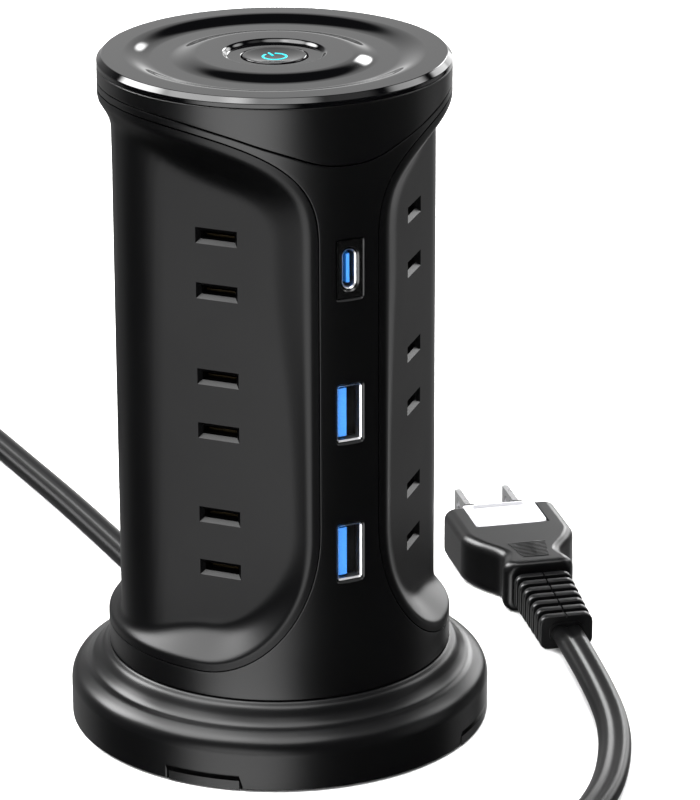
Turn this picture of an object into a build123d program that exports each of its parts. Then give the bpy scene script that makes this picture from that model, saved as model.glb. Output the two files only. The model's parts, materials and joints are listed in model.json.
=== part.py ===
"""A tower power strip: twelve two-pin outlets, three USB ports, a push switch and a flat mains cord.

Millimetres. The origin is the middle of the base on the surface it stands on, +Z is up, and the
column with the USB ports faces -Y. The cord leaves the base at the back, towards +Y.
"""

import os
from math import cos, pi, radians, sin, tan

from build123d import *

os.makedirs("parts", exist_ok=True)

# ---------------------------------------------------------------- driving dimensions
tower_radius = 39.6
tower_wall = 2.4
base_radius = 48.6
base_wall = 2.3
base_height = 18.3  # top of the base, where the tower stands
overall_height = 158.4
cap_seam = 156.1  # joint between the crown and the cap
cap_edge_radius = 38.55
gap = 0.1  # clearance along the seams of the casing

face_distance = 32.5  # from the axis to a flat outlet face
face_turn = 42.4  # from the middle of a side panel to the direction of each of its two faces
face_wall = 2.4
corner_radius = 16.5  # of the rounded corner where the two faces of a panel meet
outlet_pitch = 32.7
outlet_heights = [118.2 - outlet_pitch * i for i in range(3)]
pole_pitch = 12.7  # between the two slots of an outlet
slot_size = (10.0, 3.7)
slot_bevel = 0.55
faces = {
    "front_left": 180 + face_turn,
    "back_left": 180 - face_turn,
    "front_right": -face_turn,
    "back_right": face_turn,
}

panel_bottom = 24.2
panel_top = 151.0
column_half_angle = 10.4  # from the middle of a column to the panel's seam
panel_corner_width = 28.0  # the lower corners of a panel are quarter ellipses, on the unrolled tower
panel_corner_low = 34.0
panel_arch = 27.0  # height of the arch between a panel's straight sides and its top
arch_power = 2.75  # the arch is a superellipse of this power

port_heights = [119.1, 85.8, 52.9]
usb_a_size = (5.9, 13.1)
usb_c_size = (3.3, 9.1)
port_window = (6.3, 13.5)

button_radius = 7.2
button_top = 157.5
button_travel = 1.2

blade_pitch = 12.7
blade_size = (1.5, 17.0, 6.3)  # thickness, free length, width
plug_width = 29.2
plug_thickness = 13.0
plug_length = 41.3
relief_length = 24.5
plug_tail = (76.0, 0.0)  # where the cord enters the plug's strain relief
plug_heading = 12.0  # degrees from +Y towards +X
swing_back = 9.0  # from the plug's end face to the hinge of the blades
swing_depth = 5.2  # from the plug's upper face to that hinge

cord_width = 7.6
cord_thickness = 4.2
cord_rest = 2.15  # height of the cord's middle when it lies flat
coil_centre = (-46.0, 226.0)
coil_radius = 39.0  # middle of the turns
coil_turns = 5.5
coil_width = 16.4
coil_height = 13.4

board_thickness = 1.6
# radii of each kind of screw: thread, head and pilot hole
tower_screw = (1.25, 3.0, 1.3)
panel_screw = (0.95, 2.5, 1.0)
board_screw = (1.0, 2.2, 1.05)


def ring_point(radius, angle, height=0.0):
    """A point on a circle about the tower's axis; the angle is from +X, in degrees."""
    return (radius * cos(radians(angle)), radius * sin(radians(angle)), height)


def face_plane(angle, distance=0.0):
    """A plane square to the outlet face that looks along angle: x across it, y up, z outwards."""
    origin = ring_point(distance, angle)
    return Plane(origin=origin, x_dir=ring_point(1, angle + 90), z_dir=ring_point(1, angle))


def finish(builder, name):
    """Labels a piece and writes it."""
    builder.part.label = name
    export_step(builder.part, f"parts/{name}.step")


slot_heights = [z + side * pole_pitch / 2 for z in outlet_heights for side in (1, -1)]

# ---------------------------------------------------------------- outlines of the tower casing
quarter = [radians(90 * i / 8) for i in range(9)]


def panel_outline(inset):
    """The seam of a side panel on the tower, as seen along X: points (y, z) of its lower corner and
    of half of its arch."""
    half = tower_radius * radians(90 - column_half_angle) - inset
    wide, low = panel_corner_width - inset, panel_corner_low - inset
    bottom, spring = panel_bottom + inset, panel_top - panel_arch
    power = 2 / arch_power
    corner = [(half - wide * (1 - sin(t)), bottom + low * (1 - cos(t))) for t in quarter]
    arch = [(half * cos(t) ** power, spring + (panel_arch - inset) * sin(t) ** power) for t in quarter[:-1]]
    arch.append((0, panel_top - inset))
    return [[(tower_radius * sin(s / tower_radius), z) for s, z in curve] for curve in (corner, arch)]


def panel_window(inset, inner):
    """The closed space of both side panels: their outline carried through the tower along X."""
    corner, arch = panel_outline(inset)
    with BuildPart(mode=Mode.PRIVATE) as window:
        with BuildSketch(Plane.YZ) as _:
            with BuildLine() as _:
                for side in (1, -1):
                    Spline(*[(side * y, z) for y, z in corner])
                    Line((side * corner[-1][0], corner[-1][1]), (side * arch[0][0], arch[0][1]))
                Line((-corner[0][0], corner[0][1]), corner[0])
                Spline(*arch, *[(-y, z) for y, z in arch[-2::-1]], tangents=[(0, 1), (0, -1)])
            make_face()
        extrude(amount=tower_radius + 2, both=True)
        Box(2 * inner, 3 * tower_radius, 400, mode=Mode.SUBTRACT)
    return window.part


# Lower edge of the crown, seen along Y: lowest over the columns, highest at the sides.
crown_wave = [
    (0, 142.6), (6.6, 143.3), (14.3, 145.9), (18.7, 147.4), (24.6, 149.5), (31.5, 151.5), (37.0, 152.6),
]
crown_side = 152.9


def under_crown(drop):
    """Everything below the crown's lower edge, lowered by drop."""
    half = [(x, z - drop) for x, z in crown_wave]
    edge = tower_radius + 3
    with BuildPart(mode=Mode.PRIVATE) as below:
        with BuildSketch(Plane.XZ) as _:
            with BuildLine() as _:
                side = (edge, crown_side - drop)
                points = [(-x, z) for x, z in (*half, side)][::-1] + [*half[1:], side]
                Spline(*points, tangents=[(1, 0), (1, 0)])
                Polyline(side, (edge, 0), (-edge, 0), (-edge, side[1]))
            make_face()
        extrude(amount=edge, both=True)
    return below.part


# ---------------------------------------------------------------- base
base_flare = [(48.6, 8.6), (47.7, 11.4), (45.4, 13.2), (43.7, 13.9), (42.3, 15.4), (41.0, 17.3)]
tab_width = 17.0
latch_angles = (45, 135, 225, 315)
tab_height = 2.1
floor_gap = 0.5  # the bottom plate stands clear of the surface by this much
plate_top = 2.5
plate_radius = base_radius - base_wall - 0.2
relief_window = (11.4, 5.6)
relief_height = 5.45  # middle of the cord's way out through the skirt
tower_screw_radius = 31.0
deck_thickness = 2.2
deck_opening = 23.0
deck_bottom = base_height - deck_thickness
skirt_inner = base_radius - base_wall
skirt_bottom = floor_gap + 0.1

with BuildPart() as base_shell:
    with BuildSketch(Plane.XZ) as _:
        with BuildLine() as _:
            flare = Spline(*base_flare, (tower_radius, base_height), tangents=[(0, 1), (-0.8, 1)])
            Polyline(
                flare @ 1,
                (deck_opening, base_height),
                (deck_opening, deck_bottom),
                (37.4, deck_bottom),
                (40.2, 13.2),
                (43.0, 11.6),
                (45.4, 9.6),
                (skirt_inner, 7.4),
                (skirt_inner, skirt_bottom),
                (base_radius, skirt_bottom),
                flare @ 0,
            )
        make_face()
    revolve(axis=Axis.Z)
    # notches for the latch tabs, the way out for the cord and the screw holes
    for angle in latch_angles:
        with Locations(Location((0, 0, 0), (0, 0, angle))):
            with Locations((base_radius, 0, floor_gap + tab_height / 2)):
                Box(9, tab_width + 0.3, tab_height + 0.3, mode=Mode.SUBTRACT)
    with Locations((0, base_radius, relief_height)):
        Box(relief_window[0], 12, relief_window[1], mode=Mode.SUBTRACT)
    with BuildSketch(Plane.XY.offset(base_height)) as _:
        with PolarLocations(tower_screw_radius, 4):
            Circle(tower_screw[0] + 0.45)
    extrude(amount=-2 * deck_thickness, mode=Mode.SUBTRACT)
finish(base_shell, "base_shell")

foot_radius = 4.5
foot_ring = 36.0
foot_recess = 0.9
clamp_posts = [(-8, 33), (8, 33)]
clamp_post_radius = 2.6
clamp_post_height = 4.4
with BuildPart() as bottom_plate:
    with BuildSketch(Plane.XY.offset(floor_gap)) as _:
        Circle(plate_radius)
    extrude(amount=plate_top - floor_gap)
    for angle in latch_angles:
        with Locations(Location((0, 0, 0), (0, 0, angle))):
            with Locations((base_radius - 3.0, 0, floor_gap + tab_height / 2)):
                Box(7.6, tab_width, tab_height)
    with BuildSketch(Plane.XY) as _:
        Circle(base_radius)
    extrude(amount=20, mode=Mode.INTERSECT)
    with BuildSketch(Plane.XY.offset(floor_gap)) as _:
        with PolarLocations(foot_ring, 4):
            Circle(foot_radius + 0.1)
    extrude(amount=foot_recess, mode=Mode.SUBTRACT)
    # posts for the cord clamp
    with BuildSketch(Plane.XY.offset(plate_top)) as _:
        with Locations(*clamp_posts):
            Circle(clamp_post_radius)
    extrude(amount=clamp_post_height)
    with BuildSketch(Plane.XY.offset(plate_top + clamp_post_height)) as _:
        with Locations(*clamp_posts):
            Circle(board_screw[2])
    extrude(amount=-4.0, mode=Mode.SUBTRACT)
finish(bottom_plate, "bottom_plate")

with BuildPart() as rubber_feet:
    with BuildSketch(Plane.XY) as _:
        with PolarLocations(foot_ring, 4):
            Circle(foot_radius)
    extrude(amount=floor_gap + foot_recess - 0.05)
finish(rubber_feet, "rubber_feet")

# ---------------------------------------------------------------- tower casing
flange_inner = 24.0
flange_thickness = 2.0
boss_radius = 3.3
boss_top = 26.0
ring_bottom = base_height + gap
with BuildPart() as frame_shell:
    with BuildSketch(Plane.XY.offset(ring_bottom)) as _:
        Circle(tower_radius)
        Circle(tower_radius - tower_wall, mode=Mode.SUBTRACT)
    extrude(amount=crown_side + 2 - ring_bottom)
    add(under_crown(gap), mode=Mode.INTERSECT)
    column_edge = tower_radius * sin(radians(column_half_angle))
    add(panel_window(0, column_edge), mode=Mode.SUBTRACT)
    with BuildSketch(Plane.XY.offset(ring_bottom)) as _:
        Circle(tower_radius - tower_wall + 0.2)
        Circle(flange_inner, mode=Mode.SUBTRACT)
    extrude(amount=flange_thickness)
    with BuildSketch(Plane.XY.offset(ring_bottom)) as _:
        with PolarLocations(tower_screw_radius, 4):
            Circle(boss_radius)
    extrude(amount=boss_top - ring_bottom)
    with BuildSketch(Plane.XY.offset(ring_bottom)) as _:
        with PolarLocations(tower_screw_radius, 4):
            Circle(tower_screw[2])
    extrude(amount=6.6, mode=Mode.SUBTRACT)
    # windows for the USB ports in the front column
    with BuildSketch(Plane.XZ.offset(tower_radius - 4)) as _:
        for height in port_heights:
            with Locations((0, height)):
                Rectangle(*port_window)
    extrude(amount=6, mode=Mode.SUBTRACT)
finish(frame_shell, "frame_shell")

carrier_plate = 2.0
post_bottom = face_distance - face_wall - gap - carrier_plate  # where the panel's posts end
post_heights = (42.0, 129.0)
post_radius = 1.8
# where a slope leaves the round tower and where it meets the flat face, from the panel's edge
bottom_slope = (2.8, 8.4)
top_slope = (2.6, 11.5)
slope_inner = 30.0


def panel_section(distance, radius, rounding):
    """Cross-section of the tower at the outlet faces: four flats, two corners rounded, in a circle."""
    tip_x, tip_y = distance / cos(radians(face_turn)), distance / sin(radians(face_turn))
    with BuildSketch(mode=Mode.PRIVATE) as section:
        Polygon((tip_x, 0), (0, tip_y), (-tip_x, 0), (0, -tip_y), align=None)
        fillet(section.vertices().sort_by(Axis.X)[0], rounding)
        fillet(section.vertices().sort_by(Axis.X)[-1], rounding)
        Circle(radius, mode=Mode.INTERSECT)
    return section.sketch


def side_panel(side, name):
    """One side panel with two outlet faces; side is -1 for the left one and 1 for the right."""
    inner_wall = tower_radius - tower_wall
    angles = [a for a in faces.values() if cos(radians(a)) * side > 0]
    with BuildPart() as panel:
        with BuildSketch(Plane.XY.offset(panel_bottom)) as _:
            add(panel_section(face_distance, tower_radius, corner_radius))
        extrude(amount=panel_top - panel_bottom)
        # sloping rims that lead from the round tower down to the flat faces
        with BuildSketch(Plane.XZ) as _:
            with BuildLine() as _:
                Polyline(
                    (slope_inner, panel_bottom),
                    (tower_radius, panel_bottom),
                    (tower_radius, panel_bottom + bottom_slope[0]),
                    (face_distance, panel_bottom + bottom_slope[1]),
                    (slope_inner, panel_bottom + bottom_slope[1]),
                    close=True,
                )
            make_face()
            with BuildLine() as _:
                Polyline(
                    (slope_inner, panel_top),
                    (tower_radius, panel_top),
                    (tower_radius, panel_top - top_slope[0]),
                    (face_distance, panel_top - top_slope[1]),
                    (slope_inner, panel_top - top_slope[1]),
                    close=True,
                )
            make_face()
        revolve(axis=Axis.Z)
        with BuildSketch(Plane.XY.offset(panel_bottom - 1)) as _:
            add(panel_section(face_distance - face_wall, inner_wall, corner_radius - face_wall))
        extrude(amount=panel_top - panel_bottom + 2, mode=Mode.SUBTRACT)
        add(panel_window(gap, column_edge + gap), mode=Mode.INTERSECT)
        add(under_crown(2 * gap), mode=Mode.INTERSECT)
        with Locations((-side * 60, 0, 80)):
            Box(120, 120, 200, mode=Mode.SUBTRACT)
        for angle in angles:
            with BuildSketch(face_plane(angle, face_distance)) as _:
                with Locations(*[(0, z) for z in slot_heights]):
                    Rectangle(*slot_size)
            extrude(amount=-slot_bevel, taper=45, mode=Mode.SUBTRACT)
            with BuildSketch(face_plane(angle, face_distance)) as _:
                with Locations(*[(0, z) for z in slot_heights]):
                    Rectangle(slot_size[0] - 2 * slot_bevel, slot_size[1] - 2 * slot_bevel)
            extrude(amount=-face_wall - 1, mode=Mode.SUBTRACT)
            # posts that carry the contact carrier
            with BuildSketch(face_plane(angle, post_bottom)) as _:
                with Locations(*[(0, z) for z in post_heights]):
                    Circle(post_radius)
            extrude(amount=face_distance - face_wall - post_bottom + 0.5)
            with BuildSketch(face_plane(angle, post_bottom)) as _:
                with Locations(*[(0, z) for z in post_heights]):
                    Circle(panel_screw[2])
            extrude(amount=3.4, mode=Mode.SUBTRACT)
    finish(panel, name)


side_panel(-1, "left_panel")
side_panel(1, "right_panel")

board_screw_radius = 27.5
ledge_bottom = 153.7
ledge_thickness = 1.5
ledge_opening = 24.4
top_board_top = 143.6
top_board_bottom = top_board_top - board_thickness
with BuildPart() as crown:
    with BuildSketch(Plane.XY.offset(140)) as _:
        Circle(tower_radius)
        Circle(tower_radius - tower_wall, mode=Mode.SUBTRACT)
    extrude(amount=cap_seam - 140)
    add(under_crown(0), mode=Mode.SUBTRACT)
    with BuildSketch(Plane.XY.offset(ledge_bottom)) as _:
        Circle(tower_radius - tower_wall + 0.2)
        Circle(ledge_opening, mode=Mode.SUBTRACT)
    extrude(amount=ledge_thickness)
    with BuildSketch(Plane.XY.offset(top_board_top)) as _:
        with PolarLocations(board_screw_radius, 4):
            Circle(2.8)
    extrude(amount=ledge_bottom - top_board_top)
    with BuildSketch(Plane.XY.offset(top_board_top)) as _:
        with PolarLocations(board_screw_radius, 4):
            Circle(board_screw[2])
    extrude(amount=8, mode=Mode.SUBTRACT)
finish(crown, "crown")

# ---------------------------------------------------------------- cap
cap_groove = overall_height - 1.3
cap_disc = overall_height - 0.2
cap_recess = overall_height - 1.1
button_gap = 0.3
with BuildPart() as top_cap:
    with BuildSketch(Plane.XZ) as _:
        with BuildLine() as _:
            Polyline(
                (button_radius + button_gap, cap_seam + 0.1),
                (button_radius + button_gap, cap_recess),
                (10.4, cap_recess),
            )
            Spline((10.4, cap_recess), (11.6, cap_disc), tangents=[(1, 0), (1, 0)])
            Line((11.6, cap_disc), (17.4, cap_disc))
            Spline((17.4, cap_disc), (23.4, cap_groove), tangents=[(1, 0), (1, 0)])
            Line((23.4, cap_groove), (27.5, cap_groove))
            Spline((27.5, cap_groove), (33.6, overall_height), tangents=[(1, 0), (1, 0)])
            Polyline(
                (33.6, overall_height),
                (cap_edge_radius, overall_height),
                (tower_radius, overall_height - 1.1),
                (tower_radius, cap_seam + gap),
                (36.9, cap_seam + gap),
                (36.9, ledge_bottom + 1.6),
                (34.8, ledge_bottom + 1.6),
                (34.8, cap_seam + 0.1),
                (31.0, cap_seam + 0.1),
                (28.6, ledge_bottom + 1.7),
                (22.4, ledge_bottom + 1.7),
                (19.0, cap_seam + 0.1),
                (button_radius + button_gap, cap_seam + 0.1),
            )
        make_face()
    revolve(axis=Axis.Z)
finish(top_cap, "top_cap")

# ---------------------------------------------------------------- power button and switch
button_flange = (8.6, 154.6, 155.6)  # radius, bottom and top: it stops the button from coming out
stem_radius = 3.0
stem_bottom = 149.4
button_dish = 0.35  # depth of the hollow in the button's top
icon_radius = 2.9
icon_stroke = 0.55
icon_depth = 0.3


def icon_sketch(height):
    """An open ring with a bar in its gap, on the button's top."""
    with BuildSketch(Plane.XY.offset(height), mode=Mode.PRIVATE) as icon:
        Circle(icon_radius)
        Circle(icon_radius - icon_stroke, mode=Mode.SUBTRACT)
        with Locations((0, icon_radius)):
            Rectangle(2.1, 2 * icon_radius, mode=Mode.SUBTRACT)
        with Locations((0, icon_radius * 0.72)):
            Rectangle(icon_stroke, icon_radius * 1.05)
    return icon.sketch


with BuildPart() as power_button:
    with BuildSketch(Plane.XZ) as _:
        with BuildLine() as _:
            Spline(
                (0, button_top - button_dish),
                (button_radius - 0.6, button_top),
                tangents=[(1, 0), (1, 0.12)],
            )
            Polyline(
                (button_radius - 0.6, button_top),
                (button_radius, button_top - 0.5),
                (button_radius, button_flange[2]),
                (button_flange[0], button_flange[2]),
                (button_flange[0], button_flange[1]),
                (stem_radius, button_flange[1]),
                (stem_radius, stem_bottom),
                (0, stem_bottom),
                (0, button_top - button_dish),
            )
        make_face()
    revolve(axis=Axis.Z)
    add(extrude(icon_sketch(button_top - button_dish - icon_depth), amount=2), mode=Mode.SUBTRACT)
finish(power_button, "power_button")

with BuildPart() as button_light:
    add(extrude(icon_sketch(button_top - button_dish - icon_depth), amount=icon_depth))
finish(button_light, "button_light")

switch_top = 148.2
switch_width = 8.2
plunger_width = 3.4
plunger_depth = 2.2  # inside the switch
with BuildPart() as switch_plunger:
    with BuildSketch(Plane.XY.offset(switch_top - plunger_depth)) as _:
        Rectangle(plunger_width, plunger_width)
    extrude(amount=stem_bottom - switch_top + plunger_depth)
finish(switch_plunger, "switch_plunger")

with BuildPart() as power_switch:
    with BuildSketch(Plane.XY.offset(top_board_top)) as _:
        Rectangle(switch_width, switch_width)
    extrude(amount=switch_top - top_board_top)
    with BuildSketch(Plane.XY.offset(switch_top)) as _:
        Rectangle(plunger_width + 0.6, plunger_width + 0.6)
    extrude(amount=-plunger_depth - 1.5, mode=Mode.SUBTRACT)
finish(power_switch, "power_switch")

with BuildPart() as status_led:
    with BuildSketch(Plane.XY.offset(top_board_top)) as _:
        with Locations((0, 6.4)):
            Circle(1.5)
    extrude(amount=3.4)
    fillet(status_led.faces().sort_by(Axis.Z)[-1].edges(), 1.2)
finish(status_led, "status_led")

top_board_radius = 29.6
with BuildPart() as top_board:
    with BuildSketch(Plane.XY.offset(top_board_bottom)) as _:
        Circle(top_board_radius)
        with PolarLocations(board_screw_radius, 4):
            Circle(board_screw[0] + 0.4, mode=Mode.SUBTRACT)
    extrude(amount=board_thickness)
finish(top_board, "top_board")

# ---------------------------------------------------------------- outlet contacts
carrier_half = 11.0
carrier_back = 19.6
carrier_front = face_distance - face_wall - gap
carrier_low, carrier_high = 38.0, 133.0
carrier_wall = 1.4
leaf_thickness = 0.6
leaf_gap = 1.6
leaf_length = 12.8
leaf_offset = 1.9  # of the leaves' middle towards their own pole
leaf_back = 20.6
leaf_depth = carrier_front - carrier_plate - 0.1 - leaf_back
leaf_step = (leaf_gap + leaf_thickness) / 2  # from a slot's middle to the middle of a leaf
bar_back, bar_depth = 21.5, 5.0
bar_thickness = 0.8
bar_offset = leaf_offset + leaf_length / 2

for face, angle in faces.items():
    with BuildPart() as carrier:
        with BuildSketch(face_plane(angle, carrier_back)) as _:
            with Locations((0, (carrier_low + carrier_high) / 2)):
                Rectangle(2 * carrier_half, carrier_high - carrier_low)
        extrude(amount=carrier_front - carrier_back)
        with BuildSketch(face_plane(angle, carrier_back)) as _:
            with Locations((0, (carrier_low + carrier_high) / 2)):
                Rectangle(2 * (carrier_half - carrier_wall), carrier_high - carrier_low - 2 * carrier_wall)
        extrude(amount=carrier_front - carrier_plate - carrier_back, mode=Mode.SUBTRACT)
        with BuildSketch(face_plane(angle, carrier_front)) as _:
            with Locations(*[(0, z) for z in slot_heights]):
                Rectangle(slot_size[0] - 2 * slot_bevel, slot_size[1] - 2 * slot_bevel)
            with Locations(*[(0, z) for z in post_heights]):
                Circle(post_radius + 0.15)
        extrude(amount=-carrier_plate - 1, mode=Mode.SUBTRACT)
    finish(carrier, f"contact_carrier_{face}")

    for pole, side, heights in (("line", -1, slot_heights[::2]), ("neutral", 1, slot_heights[1::2])):
        with BuildPart() as bus_bar:
            # the strip that joins the three contacts of one pole
            with BuildSketch(face_plane(angle, bar_back)) as _:
                with Locations((side * bar_offset, (heights[0] + heights[-1]) / 2)):
                    Rectangle(bar_thickness, heights[0] - heights[-1] + 8)
            extrude(amount=bar_depth)
            # a pair of leaves grips each blade
            for height in heights:
                for above in (1, -1):
                    with BuildSketch(face_plane(angle, leaf_back)) as _:
                        with Locations((side * leaf_offset, height + above * leaf_step)):
                            Rectangle(leaf_length, leaf_thickness)
                    extrude(amount=leaf_depth)
        finish(bus_bar, f"bus_bar_{pole}_{face}")

with BuildPart() as carrier_screws:
    for angle in faces.values():
        with BuildSketch(face_plane(angle, post_bottom)) as _:
            with Locations(*[(0, z) for z in post_heights]):
                Circle(panel_screw[1])
        extrude(amount=-1.3)
        with BuildSketch(face_plane(angle, post_bottom)) as _:
            with Locations(*[(0, z) for z in post_heights]):
                Circle(panel_screw[0])
        extrude(amount=3.2)
finish(carrier_screws, "carrier_screws")

# ---------------------------------------------------------------- USB ports
port_front = tower_radius - 0.5
port_back = 27.2
port_floor = port_back + 0.6  # inside the shells
usb_board_size = (14.0, 88.0)
usb_board_height = 86.0  # of its middle
usb_a_wall = 0.35
usb_c_wall = 0.3
usb_a_tongue_size = (2.1, 11.2)
usb_a_tongue_offset = -1.35
usb_c_tongue_size = (0.8, 6.6)

with BuildPart() as usb_board:
    with BuildSketch(Plane.XZ.offset(port_back - board_thickness)) as _:
        with Locations((0, usb_board_height)):
            Rectangle(*usb_board_size)
    extrude(amount=board_thickness)
finish(usb_board, "usb_board")

for name, height in (("upper", port_heights[1]), ("lower", port_heights[2])):
    with BuildPart() as usb_a_shell:
        with BuildSketch(Plane.XZ.offset(port_back)) as _:
            with Locations((0, height)):
                RectangleRounded(*usb_a_size, 0.6)
        extrude(amount=port_front - port_back)
        with BuildSketch(Plane.XZ.offset(port_floor)) as _:
            with Locations((0, height)):
                RectangleRounded(usb_a_size[0] - 2 * usb_a_wall, usb_a_size[1] - 2 * usb_a_wall, 0.3)
        extrude(amount=port_front - port_back, mode=Mode.SUBTRACT)
    finish(usb_a_shell, f"usb_a_shell_{name}")

    with BuildPart() as usb_a_tongue:
        with BuildSketch(Plane.XZ.offset(port_floor)) as _:
            with Locations((usb_a_tongue_offset, height)):
                Rectangle(*usb_a_tongue_size)
        extrude(amount=port_front - port_back - 1.6)
    finish(usb_a_tongue, f"usb_a_tongue_{name}")

with BuildPart() as usb_c_bezel:
    with BuildSketch(Plane.XZ.offset(tower_radius - 5)) as _:
        with Locations((0, port_heights[0])):
            RectangleRounded(port_window[0] - 0.2, port_window[1] - 0.2, 0.4)
            SlotOverall(usb_c_size[1] + 0.1, usb_c_size[0] + 0.1, rotation=90, mode=Mode.SUBTRACT)
    extrude(amount=4.7)
finish(usb_c_bezel, "usb_c_bezel")

with BuildPart() as usb_c_shell:
    with BuildSketch(Plane.XZ.offset(port_back)) as _:
        with Locations((0, port_heights[0])):
            SlotOverall(usb_c_size[1], usb_c_size[0], rotation=90)
    extrude(amount=port_front - port_back)
    with BuildSketch(Plane.XZ.offset(port_floor)) as _:
        with Locations((0, port_heights[0])):
            SlotOverall(usb_c_size[1] - 2 * usb_c_wall, usb_c_size[0] - 2 * usb_c_wall, rotation=90)
    extrude(amount=port_front - port_back, mode=Mode.SUBTRACT)
finish(usb_c_shell, "usb_c_shell")

with BuildPart() as usb_c_tongue:
    with BuildSketch(Plane.XZ.offset(port_floor)) as _:
        with Locations((0, port_heights[0])):
            Rectangle(*usb_c_tongue_size)
    extrude(amount=port_front - port_back - 1.4)
finish(usb_c_tongue, "usb_c_tongue")

# ---------------------------------------------------------------- power electronics
core_radius = 27.0
core_low = ring_bottom + flange_thickness + 0.1
core_plate = 1.8
core_rail = (5.2, 3.6)
lead_opening = (10.0, 5.5)  # where it is along X, and its radius
board_x = -5.0
board_low, board_high = 34.0, 128.0
board_half = 14.0

with BuildPart() as core_frame:
    with BuildSketch(Plane.XY.offset(core_low)) as _:
        Circle(core_radius)
        with Locations((lead_opening[0], 0)):
            Circle(lead_opening[1], mode=Mode.SUBTRACT)
    extrude(amount=core_plate)
    with BuildSketch(Plane.XY.offset(core_low + core_plate)) as _:
        with Locations((board_x, board_half + 0.6), (board_x, -board_half - 0.6)):
            Rectangle(*core_rail)
    extrude(amount=board_high - core_low - core_plate)
    with BuildSketch(Plane.XY.offset(board_low - 0.1)) as _:
        with Locations((board_x, 0)):
            Rectangle(board_thickness + 0.2, 2 * board_half + 0.2)
    extrude(amount=board_high, mode=Mode.SUBTRACT)
finish(core_frame, "core_frame")

with BuildPart() as power_board:
    with BuildSketch(Plane.XY.offset(board_low)) as _:
        with Locations((board_x, 0)):
            Rectangle(board_thickness, 2 * board_half)
    extrude(amount=board_high - board_low)
finish(power_board, "power_board")

board_face = board_x + board_thickness / 2
transformer_core = (13.0, 15.0, 16.0)
transformer_coil = (8.0, 17.0, 10.0)
transformer_height = 70.0
capacitor_radius = 5.0
capacitor_low, capacitor_length = 86.0, 17.0
relay_size = (12.0, 15.0, 19.0)
relay_height = 46.0
with BuildPart() as transformer:
    with Locations((board_face + transformer_core[0] / 2, 0, transformer_height)):
        Box(*transformer_core)
        Box(*transformer_coil)
    chamfer(transformer.edges().filter_by(Axis.X).group_by(Axis.Z)[-1], 0.6)
finish(transformer, "transformer")

with BuildPart() as filter_capacitor:
    with BuildSketch(Plane.XY.offset(capacitor_low)) as _:
        with Locations((board_face + capacitor_radius + 0.1, 0)):
            Circle(capacitor_radius)
    extrude(amount=capacitor_length)
    fillet(filter_capacitor.faces().sort_by(Axis.Z)[-1].edges(), 0.6)
finish(filter_capacitor, "filter_capacitor")

with BuildPart() as power_relay:
    with Locations((board_face + relay_size[0] / 2, 0, relay_height)):
        Box(*relay_size)
    fillet(power_relay.edges().filter_by(Axis.X), 0.6)
finish(power_relay, "power_relay")

# ---------------------------------------------------------------- fasteners of the tower
with BuildPart() as base_screws:
    with BuildSketch(Plane.XY.offset(deck_bottom)) as _:
        with PolarLocations(tower_screw_radius, 4):
            Circle(tower_screw[1])
    extrude(amount=-1.8)
    with BuildSketch(Plane.XY.offset(deck_bottom)) as _:
        with PolarLocations(tower_screw_radius, 4):
            Circle(tower_screw[0])
    extrude(amount=8.4)
finish(base_screws, "base_screws")

with BuildPart() as top_board_screws:
    with BuildSketch(Plane.XY.offset(top_board_bottom)) as _:
        with PolarLocations(board_screw_radius, 4):
            Circle(board_screw[1])
    extrude(amount=-1.4)
    with BuildSketch(Plane.XY.offset(top_board_bottom)) as _:
        with PolarLocations(board_screw_radius, 4):
            Circle(board_screw[0])
    extrude(amount=8)
finish(top_board_screws, "top_board_screws")

# ---------------------------------------------------------------- cord entry in the base
relief_end = 73.0  # where the strain relief ends and the free cord begins
relief_tip = (9.4, 5.4)
relief_root = (13.0, 8.4)
groove_start, groove_pitch, groove_width = 53.5, 3.8, 1.5
with BuildPart() as cord_relief:
    with BuildSketch(Plane.XZ.offset(-(base_radius + 0.1))) as _:
        with Locations((0, relief_root[1] / 2 + 0.7)):
            RectangleRounded(*relief_root, 2.2)
    with BuildSketch(Plane.XZ.offset(-relief_end)) as _:
        with Locations((0, relief_tip[1] / 2 + 0.05)):
            RectangleRounded(*relief_tip, 2.0)
    loft()
    # ribs: shallow grooves all round between them
    for i in range(5):
        with Locations((0, groove_start + groove_pitch * i, 4.6 - 0.38 * i)):
            Box(relief_root[0] + 1, groove_width, relief_root[0] + 1, mode=Mode.SUBTRACT)
            Box(9.4 - 0.4 * i, groove_width + 0.1, 5.4 - 0.2 * i)
    # neck through the skirt and the flange behind it
    with Locations((0, base_radius - 3.4, relief_height)):
        Box(relief_window[0] - 0.2, 7.2, relief_window[1] - 0.2)
    with Locations((0, base_radius - 6.2, relief_height)):
        Box(relief_window[0] + 3.0, 2.0, relief_window[1] - 0.2)
finish(cord_relief, "cord_relief")

lead_in_end = 27.0
with BuildPart() as cord_lead_in:
    with BuildSketch(Plane.XZ.offset(-lead_in_end)) as _:
        with Locations((0, relief_height)):
            SlotOverall(cord_width, cord_thickness)
    extrude(amount=-(base_radius - 7.3 - lead_in_end))
finish(cord_lead_in, "cord_lead_in")

clamp_size = (22.0, 6.0, 2.0)
clamp_middle = relief_height + cord_thickness / 2 + 0.1 + clamp_size[2] / 2
clamp_top = clamp_middle + clamp_size[2] / 2
with BuildPart() as cord_clamp:
    with Locations((0, clamp_posts[0][1], clamp_middle)):
        Box(*clamp_size)
    with BuildSketch(Plane.XY.offset(clamp_top)) as _:
        with Locations(*clamp_posts):
            Circle(board_screw[0] + 0.25)
    extrude(amount=-clamp_size[2], mode=Mode.SUBTRACT)
finish(cord_clamp, "cord_clamp")

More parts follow.
